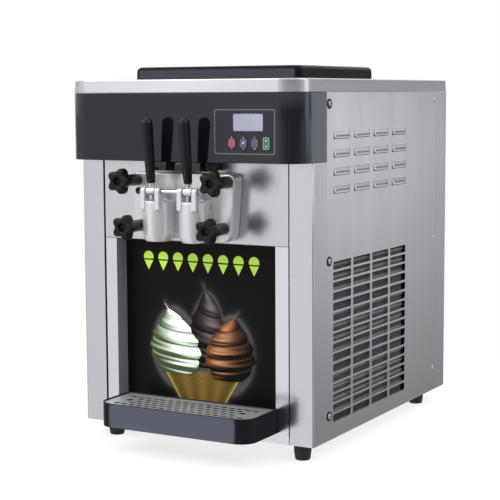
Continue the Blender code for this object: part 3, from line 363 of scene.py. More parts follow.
PRINT_LAYER = "print"
STEEL_TINT = (0.60, 0.592, 0.635)
MATERIALS = {
    "steel_upright": brushed("steel_upright", STEEL_TINT, "Z"),
    "steel_level": brushed("steel_level", STEEL_TINT, "X", 0.24),
    "steel_side": brushed("steel_side", (0.60, 0.60, 0.64), "Z", 0.17),
    "steel_pale": brushed("steel_pale", (0.70, 0.69, 0.74), "Z"),
    "steel_bright": polished("steel_bright", (0.74, 0.74, 0.78), 0.16),
    "steel_dull": polished("steel_dull", (0.50, 0.50, 0.52), 0.45, 0.6),
    "head": polished("head_metal", (0.74, 0.74, 0.77), 0.25, 0.50),
    "recess": moulded("recess_sheet", (0.26, 0.255, 0.28), 0.45),
    "grey_sheet": moulded("grey_sheet_paint", (0.085, 0.085, 0.095), 0.4),
    "gloss": moulded("black_gloss", (0.007, 0.007, 0.009), 0.06, 60, 0.000006),
    # painted reflection: the panel's right (+X) side is a lighter blue-grey than its near-black front and left
    # side
    "panel": gloss_with_painted_lit_face("black_gloss_panel", "X", (0.030, 0.043, 0.053), (0.006, 0.006, 0.009), 0.05,
                    (0.90, 0.99), 0.60, (0.80, 0.80, 1.0)),
    # painted light: the tray's front (-Y) face is a lighter grey-blue than the rest of the tray
    "tray": gloss_with_painted_lit_face("black_gloss_tray", "-Y", (0.092, 0.098, 0.130), (0.010, 0.010, 0.014), 0.14,
                   (0.985, 0.9995), 0.06),
    "satin": moulded("black_satin", (0.006, 0.006, 0.008), 0.34, Specular_IOR_Level=0.3),
    "knob": moulded("knob_phenolic", (0.005, 0.005, 0.006), 0.34, 500, Specular_IOR_Level=0.24),
    # painted shade for the floor of the knobs' recesses
    "dark": moulded("knob_recess", (0.003, 0.003, 0.003), 0.6, 500, Specular_IOR_Level=0.2),
    # painted light: the lid's front (-Y) face is paler than its top, sides and back
    "lid": gloss_with_painted_lit_face("lid_plastic", "-Y", (0.060, 0.060, 0.077), (0.006, 0.006, 0.008), 0.3, (0.96, 0.998),
                  0.08),
    "rubber": moulded("foot_rubber", (0.010, 0.010, 0.010), 0.7, 700, 0.00008),
    "silicone": moulded("silicone", (0.60, 0.60, 0.58), 0.5),
    "white": moulded("food_plastic", (0.72, 0.72, 0.70), 0.35),
    "board": moulded("board_laminate", (0.02, 0.13, 0.05), 0.45, 300, 0.0001),
    "foam": moulded("foam_skin", (0.66, 0.58, 0.36), 0.9, 260, 0.0008),
    "paint": moulded("black_enamel", (0.012, 0.012, 0.012), 0.3, 200),
    "motor": moulded("grey_enamel", (0.16, 0.18, 0.20), 0.45, 200),
    "aluminium": polished("cast_aluminium", (0.66, 0.66, 0.68), 0.35),
    "fins": moulded("fin_coating", (0.150, 0.138, 0.158), 0.6, 300),
    "copper": polished("tube_metal", (0.15, 0.14, 0.155), 0.55, 0.2),
    # painted shade: near-black sheet that darkens the inside of the left vents
    "vent_shade": moulded("vent_shade_black", (0.010, 0.010, 0.011), 0.9, 500, 0.0003),
    "print_line": moulded("print_grey", (0.13, 0.12, 0.14), 0.3),
    "key_red": moulded("key_red_film", (0.42, 0.10, 0.12), 0.3),
    "key_blue": moulded("key_blue_film", (0.105, 0.10, 0.165), 0.3),
    "key_green": moulded("key_green_film", (0.055, 0.16, 0.085), 0.3),
    "mark": moulded("key_mark", (0.62, 0.64, 0.66), 0.4),
    "mark_blue": moulded("key_mark_blue", (0.50, 0.48, 0.85), 0.4),
    "mark_green": moulded("key_mark_green", (0.25, 0.55, 0.35), 0.4),
    "lime": moulded("lime_print", (0.60, 0.92, 0.10), 0.45),
    "display": display_glass(),
    "print": printed_picture(),
}
# the material slot of pieces in these materials, where no other is given
SLOTS = {
    "brushed_stainless": ("steel_upright", "steel_level", "steel_side", "steel_bright", "steel_dull"),
    "black_plastic": ("satin", "knob", "dark", "lid"),
    "black_gloss_plastic": ("gloss", "panel", "tray", "print_line"),
    "black_rubber": ("rubber", "vent_shade"),
    "polished_head": ("head",),
    "display_lens": ("display",),
    "poster_sheet": ("lime", "print"),
    "aluminium": ("fins", "copper"),
}


# ---- making pieces ------------------------------------------------------------------------
def finish_piece(obj, material, replaces=(), smooth_angle=38, slot=None, body="housing"):
    """Shade a new piece, tie it to its body, and hide the parts that it stands for."""
    slot = slot or next(name for name, members in SLOTS.items() if material in members)
    bpy.context.scene.collection.objects.link(obj)
    obj.data.materials.clear()
    obj.data.materials.append(MATERIALS[material])
    if smooth_angle < 180:
        flat = [face.index for face in obj.data.polygons if not face.use_smooth]
        obj.data.set_sharp_from_angle(angle=math.radians(smooth_angle))
        for index in flat:
            obj.data.polygons[index].use_smooth = False
    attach(obj, body)
    if replaces:
        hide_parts(*replaces)


def mesh_object(name, bm):
    mesh = bpy.data.meshes.new(name)
    bm.to_mesh(mesh)
    bm.free()
    return bpy.data.objects.new(name, mesh)


def applied(obj):
    """Mesh of a linked object with its modifiers or its curve settings applied."""
    graph = bpy.context.evaluated_depsgraph_get()
    return bpy.data.meshes.new_from_object(obj.evaluated_get(graph))


def quads(bm, rows, closed=True):
    """Faces between neighbouring rows of vertices, which run round or end at an edge."""
    for a, b in zip(rows, rows[1:]):
        for i in range(len(a) if closed else len(a) - 1):
            j = (i + 1) % len(a)
            bm.faces.new((a[i], a[j], b[j], b[i]))


LARGE_FACE = 0.0020      # m2; a face this large is flat sheet, never part of a rounded edge


def from_bm(name, bm, flat_axis=None):
    """The mesh as an object, smooth apart from large faces and faces square to flat_axis."""
    bmesh.ops.recalc_face_normals(bm, faces=bm.faces)
    bm.normal_update()
    for face in bm.faces:
        square = flat_axis is not None and abs(face.normal["XYZ".index(flat_axis)]) > 0.9999
        face.smooth = not square and face.calc_area() < LARGE_FACE
    return mesh_object(name, bm)


def rounded(corners, steps=8):
    """Outline through corners (u, v, radius), each rounded by an arc of that radius."""
    outline = []
    count = len(corners)
    for i, (u, v, radius) in enumerate(corners):
        here = Vector((u, v))
        if radius <= 0:
            outline.append(here)
            continue
        before = (Vector(corners[i - 1][:2]) - here).normalized()
        after = (Vector(corners[(i + 1) % count][:2]) - here).normalized()
        half = math.acos(max(-1, min(1, before.dot(after)))) / 2
        centre = here + (before + after).normalized() * radius / math.sin(half)
        first = here + before * radius / math.tan(half) - centre
        last = here + after * radius / math.tan(half) - centre
        sweep = math.atan2(first.x * last.y - first.y * last.x, first.dot(last))
        for step in range(steps + 1):
            outline.append(centre + Matrix.Rotation(sweep * step / steps, 2) @ first)
    return outline


def rectangle(x0, x1, y0, y1, radius=0.0, steps=8):
    return rounded([(x0, y0, radius), (x1, y0, radius), (x1, y1, radius), (x0, y1, radius)], steps)


def node_outline(node, axes, radius, steps=8, grow=0.0):
    """Rounded outline of a node's box in two of the axes, grown all round."""
    u, v = ("XYZ".index(axis) for axis in axes)
    box_low, box_high = corners(node)
    return rectangle(box_low[u] - grow, box_high[u] + grow, box_low[v] - grow, box_high[v] + grow,
                     radius, steps)


def circle(u, v, radius, count=32):
    return [Vector((u + radius * math.cos(math.tau * i / count),
                    v + radius * math.sin(math.tau * i / count))) for i in range(count)]


PLANE_TURN = {
    "X": Matrix(((0, 0, 1, 0), (1, 0, 0, 0), (0, 1, 0, 0), (0, 0, 0, 1))),
    "Y": Matrix(((1, 0, 0, 0), (0, 0, -1, 0), (0, 1, 0, 0), (0, 0, 0, 1))),
    "Z": Matrix.Identity(4),
}


def slab(name, outlines, axis, start, end, edge=0.0, edge_steps=3):
    """Outlines, the later ones holes in the first, extruded from start to end with round edges."""
    curve = bpy.data.curves.new(name, "CURVE")
    curve.dimensions = "2D"
    curve.fill_mode = "BOTH"
    curve.extrude = abs(end - start) / 2 - edge
    curve.bevel_depth = edge
    curve.bevel_resolution = edge_steps if edge else 0
    curve.offset = -edge
    for outline in outlines:
        spline = curve.splines.new("POLY")
        spline.points.add(len(outline) - 1)
        for point, place in zip(spline.points, outline):
            point.co = (place[0], place[1], 0, 1)
        spline.use_cyclic_u = True
    drawn = bpy.data.objects.new(name + "_outline", curve)
    bpy.context.scene.collection.objects.link(drawn)
    mesh = applied(drawn)
    bpy.data.objects.remove(drawn)
    shift = Vector((0, 0, 0))
    shift["XYZ".index(axis)] = (start + end) / 2
    bm = bmesh.new()
    bm.from_mesh(mesh)
    bpy.data.meshes.remove(mesh)
    bmesh.ops.transform(bm, matrix=Matrix.Translation(shift) @ PLANE_TURN[axis], verts=bm.verts)
    bmesh.ops.remove_doubles(bm, verts=bm.verts, dist=0.000002)
    return from_bm(name, bm, axis)


AXIS_TURN = {
    "X": Matrix.Rotation(math.pi / 2, 4, "Y"),
    "Y": Matrix.Rotation(-math.pi / 2, 4, "X"),
    "-Y": Matrix.Rotation(math.pi / 2, 4, "X"),
    "Z": Matrix.Identity(4),
}


def turned(name, profile, matrix, segments=48):
    """Turn a profile of (radius, height) about local Z; matrix puts it in place."""
    bm = bmesh.new()
    rings = []
    for radius, height in profile:
        spots = circle(0, 0, radius, segments) if radius else [(0, 0)]
        rings.append([bm.verts.new((x, y, height)) for x, y in spots])
    for a, b in zip(rings, rings[1:]):
        for i in range(segments):
            j = (i + 1) % segments
            face = dict.fromkeys((a[i % len(a)], a[j % len(a)], b[j % len(b)], b[i % len(b)]))
            if len(face) > 2:
                bm.faces.new(list(face))
    bmesh.ops.transform(bm, matrix=matrix, verts=bm.verts)
    return from_bm(name, bm)


def arc(u, v, radius, start, end, steps=6):
    """Points of an arc in degrees, for use inside a profile."""
    return [(u + radius * math.cos(math.radians(start + (end - start) * i / steps)),
             v + radius * math.sin(math.radians(start + (end - start) * i / steps)))
            for i in range(steps + 1)]


def merged(name, objects):
    """Several loose meshes as one object."""
    bm = bmesh.new()
    for obj in objects:
        bm.from_mesh(obj.data)
        bpy.data.objects.remove(obj)
    return mesh_object(name, bm)


def pierced(obj, cutters):
    """The mesh with the cutters' volume taken out of it."""
    cutter = merged(obj.name + "_cutter", cutters)
    for piece in (obj, cutter):
        bpy.context.scene.collection.objects.link(piece)
    cut = obj.modifiers.new("holes", "BOOLEAN")
    cut.operation = "DIFFERENCE"
    cut.solver = "EXACT"
    cut.object = cutter
    mesh = applied(obj)
    name = obj.name
    for piece in (obj, cutter):
        bpy.data.objects.remove(piece)
    return bpy.data.objects.new(name, mesh)


def fused(name, objects, voxel=0.0011, smoothing=8):
    """Solids melted into one casting: remeshed and smoothed, so that joints get fillets."""
    base = merged(name, objects)
    bpy.context.scene.collection.objects.link(base)
    remesh = base.modifiers.new("remesh", "REMESH")
    remesh.mode = "VOXEL"
    remesh.voxel_size = voxel
    remesh.use_smooth_shade = True
    smooth = base.modifiers.new("smooth", "SMOOTH")
    smooth.factor = 0.5
    smooth.iterations = smoothing
    mesh = applied(base)
    bpy.data.objects.remove(base)
    return bpy.data.objects.new(name, mesh)


# ---- casing -------------------------------------------------------------------------------
def screw_head(name, place, axis, radius):
    """Pan head screw with a cross recess, standing on a surface and pointing along axis. The recess is drawn as
    black bars across the dome: painted shade.
    """
    height = radius * 0.55
    profile = [(0, height * 0.55), (radius * 0.16, height * 0.55), (radius * 0.22, height)]
    profile += arc(radius - height, 0, height, 90, 0) + [(0, 0)]
    matrix = Matrix.Translation(place) @ axis
    head = turned(name + "_dome", profile, matrix, 24)
    recess_shade_bars = []
    # painted shade: black bars across the dome where the cross recess lies
    for turn in (0, math.pi / 2):
        bm = bmesh.new()
        size = Matrix.Diagonal((radius * 0.95, radius * 0.20, height * 0.12, 1))
        where = Matrix.Translation((0, 0, height * 0.98)) @ Matrix.Rotation(turn, 4, "Z")
        bmesh.ops.create_cube(bm, size=1, matrix=matrix @ where @ size)
        recess_shade_bars.append(from_bm(f"{name}_slot", bm))
    finish_piece(head, "steel_dull")
    # the cross is painted shade, kept in the black paint slot
    finish_piece(merged(name + "_cross_shade", recess_shade_bars), "satin", slot="black_paint")


def washer(name, place, axis, radius, hole):
    profile = [(hole, 0.0012), (radius * 0.8, 0.0012), (radius, 0.0003), (radius, 0.0), (hole, 0.0),
               (hole, 0.0012)]
    finish_piece(turned(name, profile, Matrix.Translation(place) @ axis, 32), "steel_dull")


def ring_screw(name, place, axis):
    """Large flat screw: a dark ring round a bright centre."""
    profile = [(0.0062, 0.0004), (0.0066, 0.0016), (0.0084, 0.0018), (0.0096, 0.0008),
               (0.0098, 0.0), (0.0062, 0.0), (0.0062, 0.0004)]
    finish_piece(turned(name + "_ring", profile, Matrix.Translation(place) @ axis, 36), "satin")
    screw_head(name, place, axis, 0.0056)


VENTS = {"columns": 4, "rows": 16, "y": 0.0830, "pitch_y": 0.0892, "length": 0.0801, "z": 0.0619,
         "pitch_z": 0.0197, "height": 0.0153}
LOUVRES = {"columns": 4, "rows": 4, "y": 0.0845, "pitch_y": 0.0910, "length": 0.070, "top": 0.6215,
           "pitch_z": 0.0345, "height": 0.0155, "out": 0.0028}


def louvre_places():
    """Each louvre's column, row, front end and top."""
    return [(column, row, FRONT + LOUVRES["y"] + column * LOUVRES["pitch_y"],
             LOUVRES["top"] - row * LOUVRES["pitch_z"])
            for column in range(LOUVRES["columns"]) for row in range(LOUVRES["rows"])]


FRONT_SCREWS = {"y": 0.0655, "z": (0.672, 0.376, 0.078)}
REAR_SCREWS = {"y": 0.589, "z": (0.675, 0.374, 0.0815)}


def side_covers():
    holes = []
    for column in range(VENTS["columns"]):
        for row in range(VENTS["rows"]):
            y = FRONT + VENTS["y"] + column * VENTS["pitch_y"]
            z = VENTS["z"] + row * VENTS["pitch_z"]
            holes.append(rectangle(y, y + VENTS["length"], z, z + VENTS["height"], 0.0030, 4))
    for _, _, y, top in louvre_places():
        lip = top - LOUVRES["height"]
        holes.append(rectangle(y + 0.002, y + LOUVRES["length"] - 0.002, lip - 0.0005, lip + 0.004,
                               0.001, 2))
    outline = node_outline("side_cover_right", "YZ", 0.002, 3)
    for side, sign in (("left", -1), ("right", 1)):
        outer = sign * SIDE
        faces = sorted((sign * (SIDE - SHEET), outer))
        sheet = slab(f"side_cover_sheet_{side}", [outline] + holes, "X", *faces, 0.0002, 2)
        finish_piece(sheet, "steel_side", [f"side_cover_{side}"], 30)
        for column, row, y, top in louvre_places():
            louvre(f"louvre_{side}_{column}{row}", sign, y, top)
        turn = Matrix.Rotation(sign * math.pi / 2, 4, "Y")
        for number, z in enumerate(FRONT_SCREWS["z"]):
            ring_screw(f"front_screw_{side}_{number}", (outer, FRONT + FRONT_SCREWS["y"], z), turn)
        for number, z in enumerate(REAR_SCREWS["z"]):
            place = (outer, FRONT + REAR_SCREWS["y"], z)
            washer(f"rear_washer_{side}_{number}", place, turn, 0.0052, 0.0024)
            screw_head(f"rear_screw_{side}_{number}", place, turn, 0.0034)


def thickened(obj, thickness):
    obj.modifiers.new("thickness", "SOLIDIFY").thickness = thickness
    return obj


def louvre(name, sign, start, top):
    """Pressed louvre: a hood that swells out of the sheet and ends in an open lower lip."""
    across = 40
    down = 12
    flare = 0.07             # share of the length over which each end swells
    bm = bmesh.new()
    grid = []
    for i in range(across + 1):
        u = i / across
        ends = min(1, u / flare, (1 - u) / flare)
        swell = math.sin(math.pi / 2 * ends)
        line = []
        for j in range(down + 1):
            v = j / down
            out = LOUVRES["out"] * swell * math.sin(math.pi / 2 * min(1, v / 0.85)) ** 1.4
            z = top - v * LOUVRES["height"] * (0.80 + 0.20 * swell)
            line.append(bm.verts.new((sign * (SIDE + 0.0001 + out), start + u * LOUVRES["length"], z)))
        grid.append(line)
    quads(bm, grid, False)
    finish_piece(thickened(from_bm(name, bm), 0.0007), "steel_side", (), 60)


def front_columns():
    """Folded sheets round both front corners, with a small bend radius."""
    bend = 0.003
    for side, sign in (("left", -1), ("right", 1)):
        node = f"front_column_{side}"
        box_low, box_high = corners(node)
        inner = box_low.x if sign > 0 else box_high.x
        outer = sign * SIDE
        outline = rounded([
            (inner, FRONT, 0), (outer, FRONT, bend), (outer, box_high.y, 0),
            (outer - sign * SHEET, box_high.y, 0), (outer - sign * SHEET, FRONT + SHEET, bend - SHEET),
            (inner, FRONT + SHEET, 0)], 6)
        column = slab(f"corner_sheet_{side}", [outline], "Z", box_low.z, box_high.z, 0.0002, 1)
        finish_piece(column, "steel_upright", [node], 32)


def loft(name, sections):
    """Closed solid through outlines of equal length, each (height, points in x and y)."""
    bm = bmesh.new()
    rings = [[bm.verts.new((x, y, z)) for x, y in points] for z, points in sections]
    quads(bm, rings)
    bm.faces.new(rings[0])
    bm.faces.new(rings[-1])
    return from_bm(name, bm, "Z")


def round_top(outline, top, edge, inset, steps):
    """Sections of a rounded top edge, for loft; outline(d) is the shape drawn in by d."""
    sections = []
    for step in range(steps + 1):
        angle = math.pi / 2 * step / steps
        sections.append((top - edge * (1 - math.sin(angle)),
                         outline(inset + edge * (1 - math.cos(angle)))))
    return sections


# each key's film, and its marks as (height above the middle, radius, colour)
KEYS = {
    "stop": ("key_red", ((0.0102, 0.0011, "mark"), (-0.0102, 0.0010, "mark"))),
    "mode": ("key_blue", ((0.0004, 0.0023, "mark_blue"), (0.0102, 0.0010, "mark"),
                          (-0.0102, 0.0010, "mark"))),
    "adjust": ("key_blue", ((0.0102, 0.0010, "mark"), (-0.0102, 0.0013, "mark"))),
    "auto": ("key_green", ((0.0048, 0.0017, "mark"), (-0.0052, 0.0017, "mark"))),
}
KEY_GAP = 0.0003
PRINTED_FRAME = (0.0805, 0.2090, 0.5800, 0.6634)     # x and z
HOPPER_MOUTH = {"x0": 0.0057, "x1": 0.1723, "y0": 0.1057, "y1": 0.4043}


def top_cover():
    """Folded cover: a flat top, a rounded top edge, and a skirt that leans in a little."""
    box_low, box_high = corners("top_cover")
    edge = 0.0022
    draft = 0.0008

    def outline(inset):
        x, y0, y1 = SIDE - inset, box_low.y + inset, box_high.y - inset
        return rounded([(-x, y0, BIG_CORNER), (x, y0, BIG_CORNER), (x, y1, 0.003), (-x, y1, 0.003)], 14)

    sections = [(box_low.z, outline(0.0006)), (box_low.z + 0.0006, outline(0)),
                (box_high.z - edge - 0.0010, outline(draft))]
    sections += round_top(outline, box_high.z, edge, draft, 6)
    openings = []
    for sign in (-1, 1):
        x0, x1 = sorted((sign * HOPPER_MOUTH["x0"], sign * HOPPER_MOUTH["x1"]))
        mouth = rectangle(x0, x1, FRONT + HOPPER_MOUTH["y0"], FRONT + HOPPER_MOUTH["y1"], 0.001, 2)
        openings.append(slab(f"hopper_mouth_{sign + 1}", [mouth], "Z", box_low.z - 0.01,
                             box_high.z + 0.01))
    skin = pierced(loft("top_cover_skin", sections), openings)
    finish_piece(skin, "steel_level", ["top_cover"], 32)
    for sign in (-1, 1):
        place = (sign * (SIDE - 0.0004), FRONT + 0.030, box_low.z + 0.006)
        screw_head(f"top_screw_{sign + 1}", place, Matrix.Rotation(sign * math.pi / 2, 4, "Y"), 0.0026)


def hopper_lid():
    """Shallow lid with nearly upright sides and a rounded top edge."""
    box_low, box_high = corners("hopper_lid")
    edge = 0.0085
    foot = 0.0026
    draft = 0.0004

    def outline(inset):
        return node_outline("hopper_lid", "XY", 0.014, 12, -inset)

    sections = [(box_low.z, outline(foot)), (box_low.z + foot, outline(0)),
                (box_high.z - edge - 0.0010, outline(draft))]
    sections += round_top(outline, box_high.z, edge, draft, 8)
    finish_piece(loft("lid_shell", sections), "lid", ["hopper_lid"], 40, body="lid")


def control_panel():
    """Bowed shell with openings for the keys, and a floor that closes it from below."""
    box_low, box_high = corners("control_panel")
    wall = 0.003
    inner_x = SIDE - wall
    inner_y = box_low.y + wall

    def cup(x, y, radius):
        return [(-x, box_high.y, 0), (-x, y, radius), (x, y, radius), (x, box_high.y, 0)]

    inside = cup(inner_x, inner_y, BIG_CORNER - wall)
    outline = rounded(cup(SIDE, box_low.y, BIG_CORNER) + inside[::-1], 14)
    shell = slab("control_panel_shell", [outline], "Z", box_low.z, box_high.z, 0.0006, 2)
    holes = [slab(f"key_hole_{kind}", [node_outline(f"button_{kind}", "XZ", 0.0078, 10, KEY_GAP)], "Y",
                  box_low.y - 0.002, box_low.y + 0.010) for kind in KEYS]
    shell = pierced(shell, holes)
    under = slab("control_panel_under", [rounded(cup(inner_x, inner_y, BIG_CORNER), 14)], "Z",
                 box_low.z + 0.0004, box_low.z + wall)
    finish_piece(shell, "panel", ["control_panel"], 32)
    finish_piece(under, "satin", slot="black_gloss_plastic")


def control_area():
    """Printed frame, display and keys, drawn as thin films on the panel's face."""
    face = PANEL_FACE
    x0, x1, z0, z1 = PRINTED_FRAME
    width = 0.0024
    outlines = [rectangle(x0, x1, z0, z1, 0.005),
                rectangle(x0 + width, x1 - width, z0 + width, z1 - width, 0.0035)]
    finish_piece(slab("printed_frame", outlines, "Y", face - 0.00025, face + 0.0004), "print_line")
    lens = slab("display_window", [node_outline("display_lens", "XZ", 0.0028)], "Y", face - 0.0004,
                high("display_lens").y, 0.0003, 2)
    finish_piece(lens, "display", ["display_lens"])
    for kind, (film, marks) in KEYS.items():
        key(kind, film, marks)


def key(kind, film, marks):
    """One key: its cap, a coloured film (in a pale line on the longest key) and its marks."""
    node = f"button_{kind}"
    box_low, box_high = corners(node)
    centre = middle(node)
    slot = next(row["material_slot"] for row in frame["record"]["subparts"] if row["node"] == node)
    half_x, half_z = (0.0066, 0.0112) if kind == "auto" else (0.0072, 0.0078)

    def piece(name, outlines, start, end, edge, edge_steps, material, replaces=()):
        obj = slab(f"key_{name}", outlines, "Y", start, end, edge, edge_steps)
        finish_piece(obj, material, replaces, slot=slot, body=f"key_{kind}")

    def pad(inset, radius):
        return rectangle(centre.x - half_x + inset, centre.x + half_x - inset,
                         centre.z - half_z + inset, centre.z + half_z - inset, radius, 6)

    front = box_low.y
    piece(f"cap_{kind}", [node_outline(node, "XZ", 0.0075, 10)], front, box_high.y, 0.0006, 3, "gloss",
          [node])
    middle_pad = pad(0.0012, 0.0026)
    outlines = [pad(0, 0.0034)] + ([middle_pad] if kind == "auto" else [])
    piece(f"film_{kind}", outlines, front - 0.0003, front + 0.0002, 0.0001, 1,
          "mark_green" if kind == "auto" else film)
    if kind == "auto":
        piece("back_auto", [middle_pad], front - 0.0001, front + 0.0002, 0, 0, film)
    for number, (height, radius, colour) in enumerate(marks):
        piece(f"dot_{kind}_{number}", [circle(centre.x, centre.z + height, radius, 20)],
              front - 0.0005, front + 0.0001, 0.0001, 1, colour)


# ---- dispensing head ----------------------------------------------------------------------
VALVE_TOP = 0.490
HEAD_PLATE_TOP = 0.542


def dispensing_head():
    """Cast head: plate with two upright valve bodies, and an ear on each side of each lever."""
    box_low, box_high = corners("dispensing_head")
    centre_x = (box_low.x + box_high.x) / 2
    top_half = (box_high.x - box_low.x) / 2 + 0.0012
    low_half = 0.106
    z0 = box_low.z
    outline = rounded([(centre_x - low_half, z0, 0.022), (centre_x + low_half, z0, 0.022),
                       (centre_x + top_half, HEAD_PLATE_TOP, 0.014),
                       (centre_x - top_half, HEAD_PLATE_TOP, 0.014)], 10)
    solids = [slab("head_plate", [outline], "Y", FRONT - 0.033, FRONT - 0.0004, 0.0022)]
    pin = middle("lever_pivot_pin")
    pad_y0 = pin.y - 0.0095
    pad_y1 = pin.y + 0.0095
    ear_in = 0.0107
    ear_out = 0.0218
    for side in ("left", "right"):
        axis = middle(f"valve_piston_{side}")
        height = VALVE_TOP - z0
        profile = [(0.0125, height), (0.0270, height), (0.0288, height - 0.002), (0.0288, 0.012),
                   (0.0262, 0.004), (0.0235, 0), (0.0125, 0), (0.0125, height)]
        matrix = Matrix.Translation((axis.x, axis.y, z0 + 0.0004))
        solids.append(turned(f"valve_body_{side}", profile, matrix, 64))
        ear = rounded([(pad_y0, 0.474, 0.001), (pad_y1, 0.474, 0.001), (pad_y1, pin.z + 0.0084, 0.0080),
                       (pad_y0, pin.z + 0.0084, 0.0080)])
        for edge in (-1, 1):
            ends = sorted((axis.x + edge * ear_in, axis.x + edge * ear_out))
            solids.append(slab(f"ear_{side}_{edge + 1}", [ear, circle(pin.y, pin.z, 0.0045, 24)], "X",
                               *ends, 0.0006, 2))
    head = fused("head_casting", solids)
    finish_piece(head, "head", ["dispensing_head"], 180)


def pivot_of(body):
    """Where the record's joint holds a body."""
    return Vector(next(joint["pos_m"] for joint in frame["joints"] if joint["child"] == body))


def star_knobs():
    for place in ("upper_left", "upper_right", "lower_left", "lower_right"):
        node = f"star_knob_{place}"
        body = f"knob_{place}"
        box_low, box_high = corners(node)
        centre = pivot_of(body)
        finish_piece(knob_mesh(body, centre, box_low.y, box_high.y), "knob", [node], 180, body=body)
        # painted shade: a darker, matter disc lies on the floor of each knob's recess
        shade_disc = [(0, 0.0004), (0.0070, 0.0004), (0.0076, 0), (0.0076, -0.0010), (0, -0.0010)]
        matrix = Matrix.Translation((centre.x, box_low.y + KNOB_RECESS, centre.z)) @ AXIS_TURN["-Y"]
        finish_piece(turned(f"knob_recess_{place}", shade_disc, matrix, 32), "dark", body=body)


KNOB_RECESS = 0.0058


def knob_mesh(name, centre, front, back):
    """Five-lobed star with rounded lobes, a deep round recess in front and a round neck."""
    segments = 160
    head = 0.022
    neck_r = 0.0113
    root_r = 0.0182
    lobe = 0.0070

    def star(angle):
        wave = 0.5 + 0.5 * math.cos(5 * angle)
        return root_r + lobe * wave ** 0.85

    # each ring: share of the star's outline, how far it grows, round radius, depth behind the front
    rings = [(0.0, 0.0, radius, depth) for radius, depth in (
        (0.0060, KNOB_RECESS), (0.0075, KNOB_RECESS), (0.0078, KNOB_RECESS - 0.001),
        (0.0080, 0.0014), (0.0086, 0.0005), (0.0096, 0.0))]
    rings += [(0.80, -0.0044, 0.0120, 0.0)]
    rings += [(1.0, grow, 0.0, depth) for grow, depth in (
        (-0.0032, 0.0005), (-0.0016, 0.0015), (-0.0005, 0.0030), (0.0, 0.0050), (0.0, head - 0.0060),
        (-0.0004, head - 0.0035), (-0.0016, head - 0.0015), (-0.0036, head - 0.0003))]
    rings += [(0.55, -0.0040, neck_r, head + 0.0004), (0.15, -0.0030, neck_r, head + 0.0020)]
    rings += [(0.0, 0.0, radius, depth) for radius, depth in (
        (neck_r, head + 0.0050), (neck_r, back - front - 0.0012), (neck_r - 0.0010, back - front),
        (0.0045, back - front))]
    bm = bmesh.new()
    loops = []
    for share, grow, radius, depth in rings:
        loop = []
        for i in range(segments):
            angle = math.tau * i / segments
            distance = share * (star(angle) + grow) + (1 - share) * radius
            loop.append(bm.verts.new((centre.x + distance * math.cos(angle), front + depth,
                                      centre.z + distance * math.sin(angle))))
        loops.append(loop)
    quads(bm, loops)
    bm.faces.new(loops[0])
    bm.faces.new(list(reversed(loops[-1])))
    return from_bm(name, bm)


LEVER_LEAN = 6.6            # degrees off the vertical at rest


def levers():
    """Grips, collars and hubs of the levers, and the pin that they turn on."""
    start = 0.016            # from the pivot to the grip's lower end
    top = 0.140
    cap_r = 0.0112
    grip_profile = [(0, top)] + arc(0, top - cap_r, cap_r, 0, 84, 9)[::-1]
    grip_profile += [(cap_r, top - 0.022), (0.0110, top - 0.040), (0.0101, top - 0.070),
                     (0.0090, start + 0.020), (0.0083, start + 0.004), (0.0078, start + 0.0008),
                     (0.0068, start), (0.0050, start)]
    collar = [(0.0049, start + 0.002), (0.0062, start - 0.0002), (0.0064, start - 0.0016),
              (0.0060, start - 0.0030), (0.0049, start - 0.0034)]
    hub_half = [(0.0043, 0.0083), (0.0070, 0.0083), (0.0077, 0.0076), (0.0077, 0.0010)]
    hub_profile = hub_half + [(0.0072, 0.0)] + [(r, -h) for r, h in reversed(hub_half)]
    for side in ("left", "right"):
        body = f"lever_{side}"
        pivot = Matrix.Translation(pivot_of(body))
        lean = pivot @ Matrix.Rotation(math.radians(LEVER_LEAN), 4, "X")
        grip = turned(f"grip_{side}", grip_profile, lean, 48)
        finish_piece(grip, "satin", [f"lever_grip_{side}"], 50, body=body)
        finish_piece(turned(f"grip_collar_{side}", collar, lean, 40), "steel_bright", body=body)
        hub = turned(f"lever_hub_{side}", hub_profile, pivot @ AXIS_TURN["X"], 40)
        finish_piece(hub, "steel_bright", body=body)

    pin_low, pin_high = corners("lever_pivot_pin")
    pin = middle("lever_pivot_pin")
    place = Matrix.Translation((pin_low.x, pin.y, pin.z)) @ AXIS_TURN["X"]
    length = pin_high.x - pin_low.x
    shaft = [(0, length), (0.0030, length), (0.0040, length - 0.001), (0.0040, 0.010), (0, 0.010)]
    finish_piece(turned("pivot_rod", shaft, place, 32), "steel_bright", ["lever_pivot_pin"])
    cap = [(0, 0.0102), (0.0058, 0.0102), (0.0065, 0.0094), (0.0065, 0.0022), (0.0058, 0.0008),
           (0.0040, 0), (0, 0)]
    finish_piece(turned("pivot_cap", cap, place, 32), "satin")


def switch_cover():
    node = "lever_switch_cover"
    cover = slab("switch_cover", [node_outline(node, "XY", 0.004)], "Z", low(node).z, high(node).z,
                 0.0015, 3)
    finish_piece(cover, "gloss", [node])


# ---- drip tray ----------------------------------------------------------------------------
def tray_outline(inset):
    """The tray seen from above, drawn in by inset all round."""
    box_low, box_high = corners("drip_tray")
    x0, x1, y0 = box_low.x + inset, box_high.x - inset, box_low.y + inset
    y1 = FRONT - 0.0003 - inset
    radius = 0.033 - inset
    return rounded([(x0, y0, radius), (x1, y0, radius), (x1, y1, 0.002), (x0, y1, 0.002)], 12)


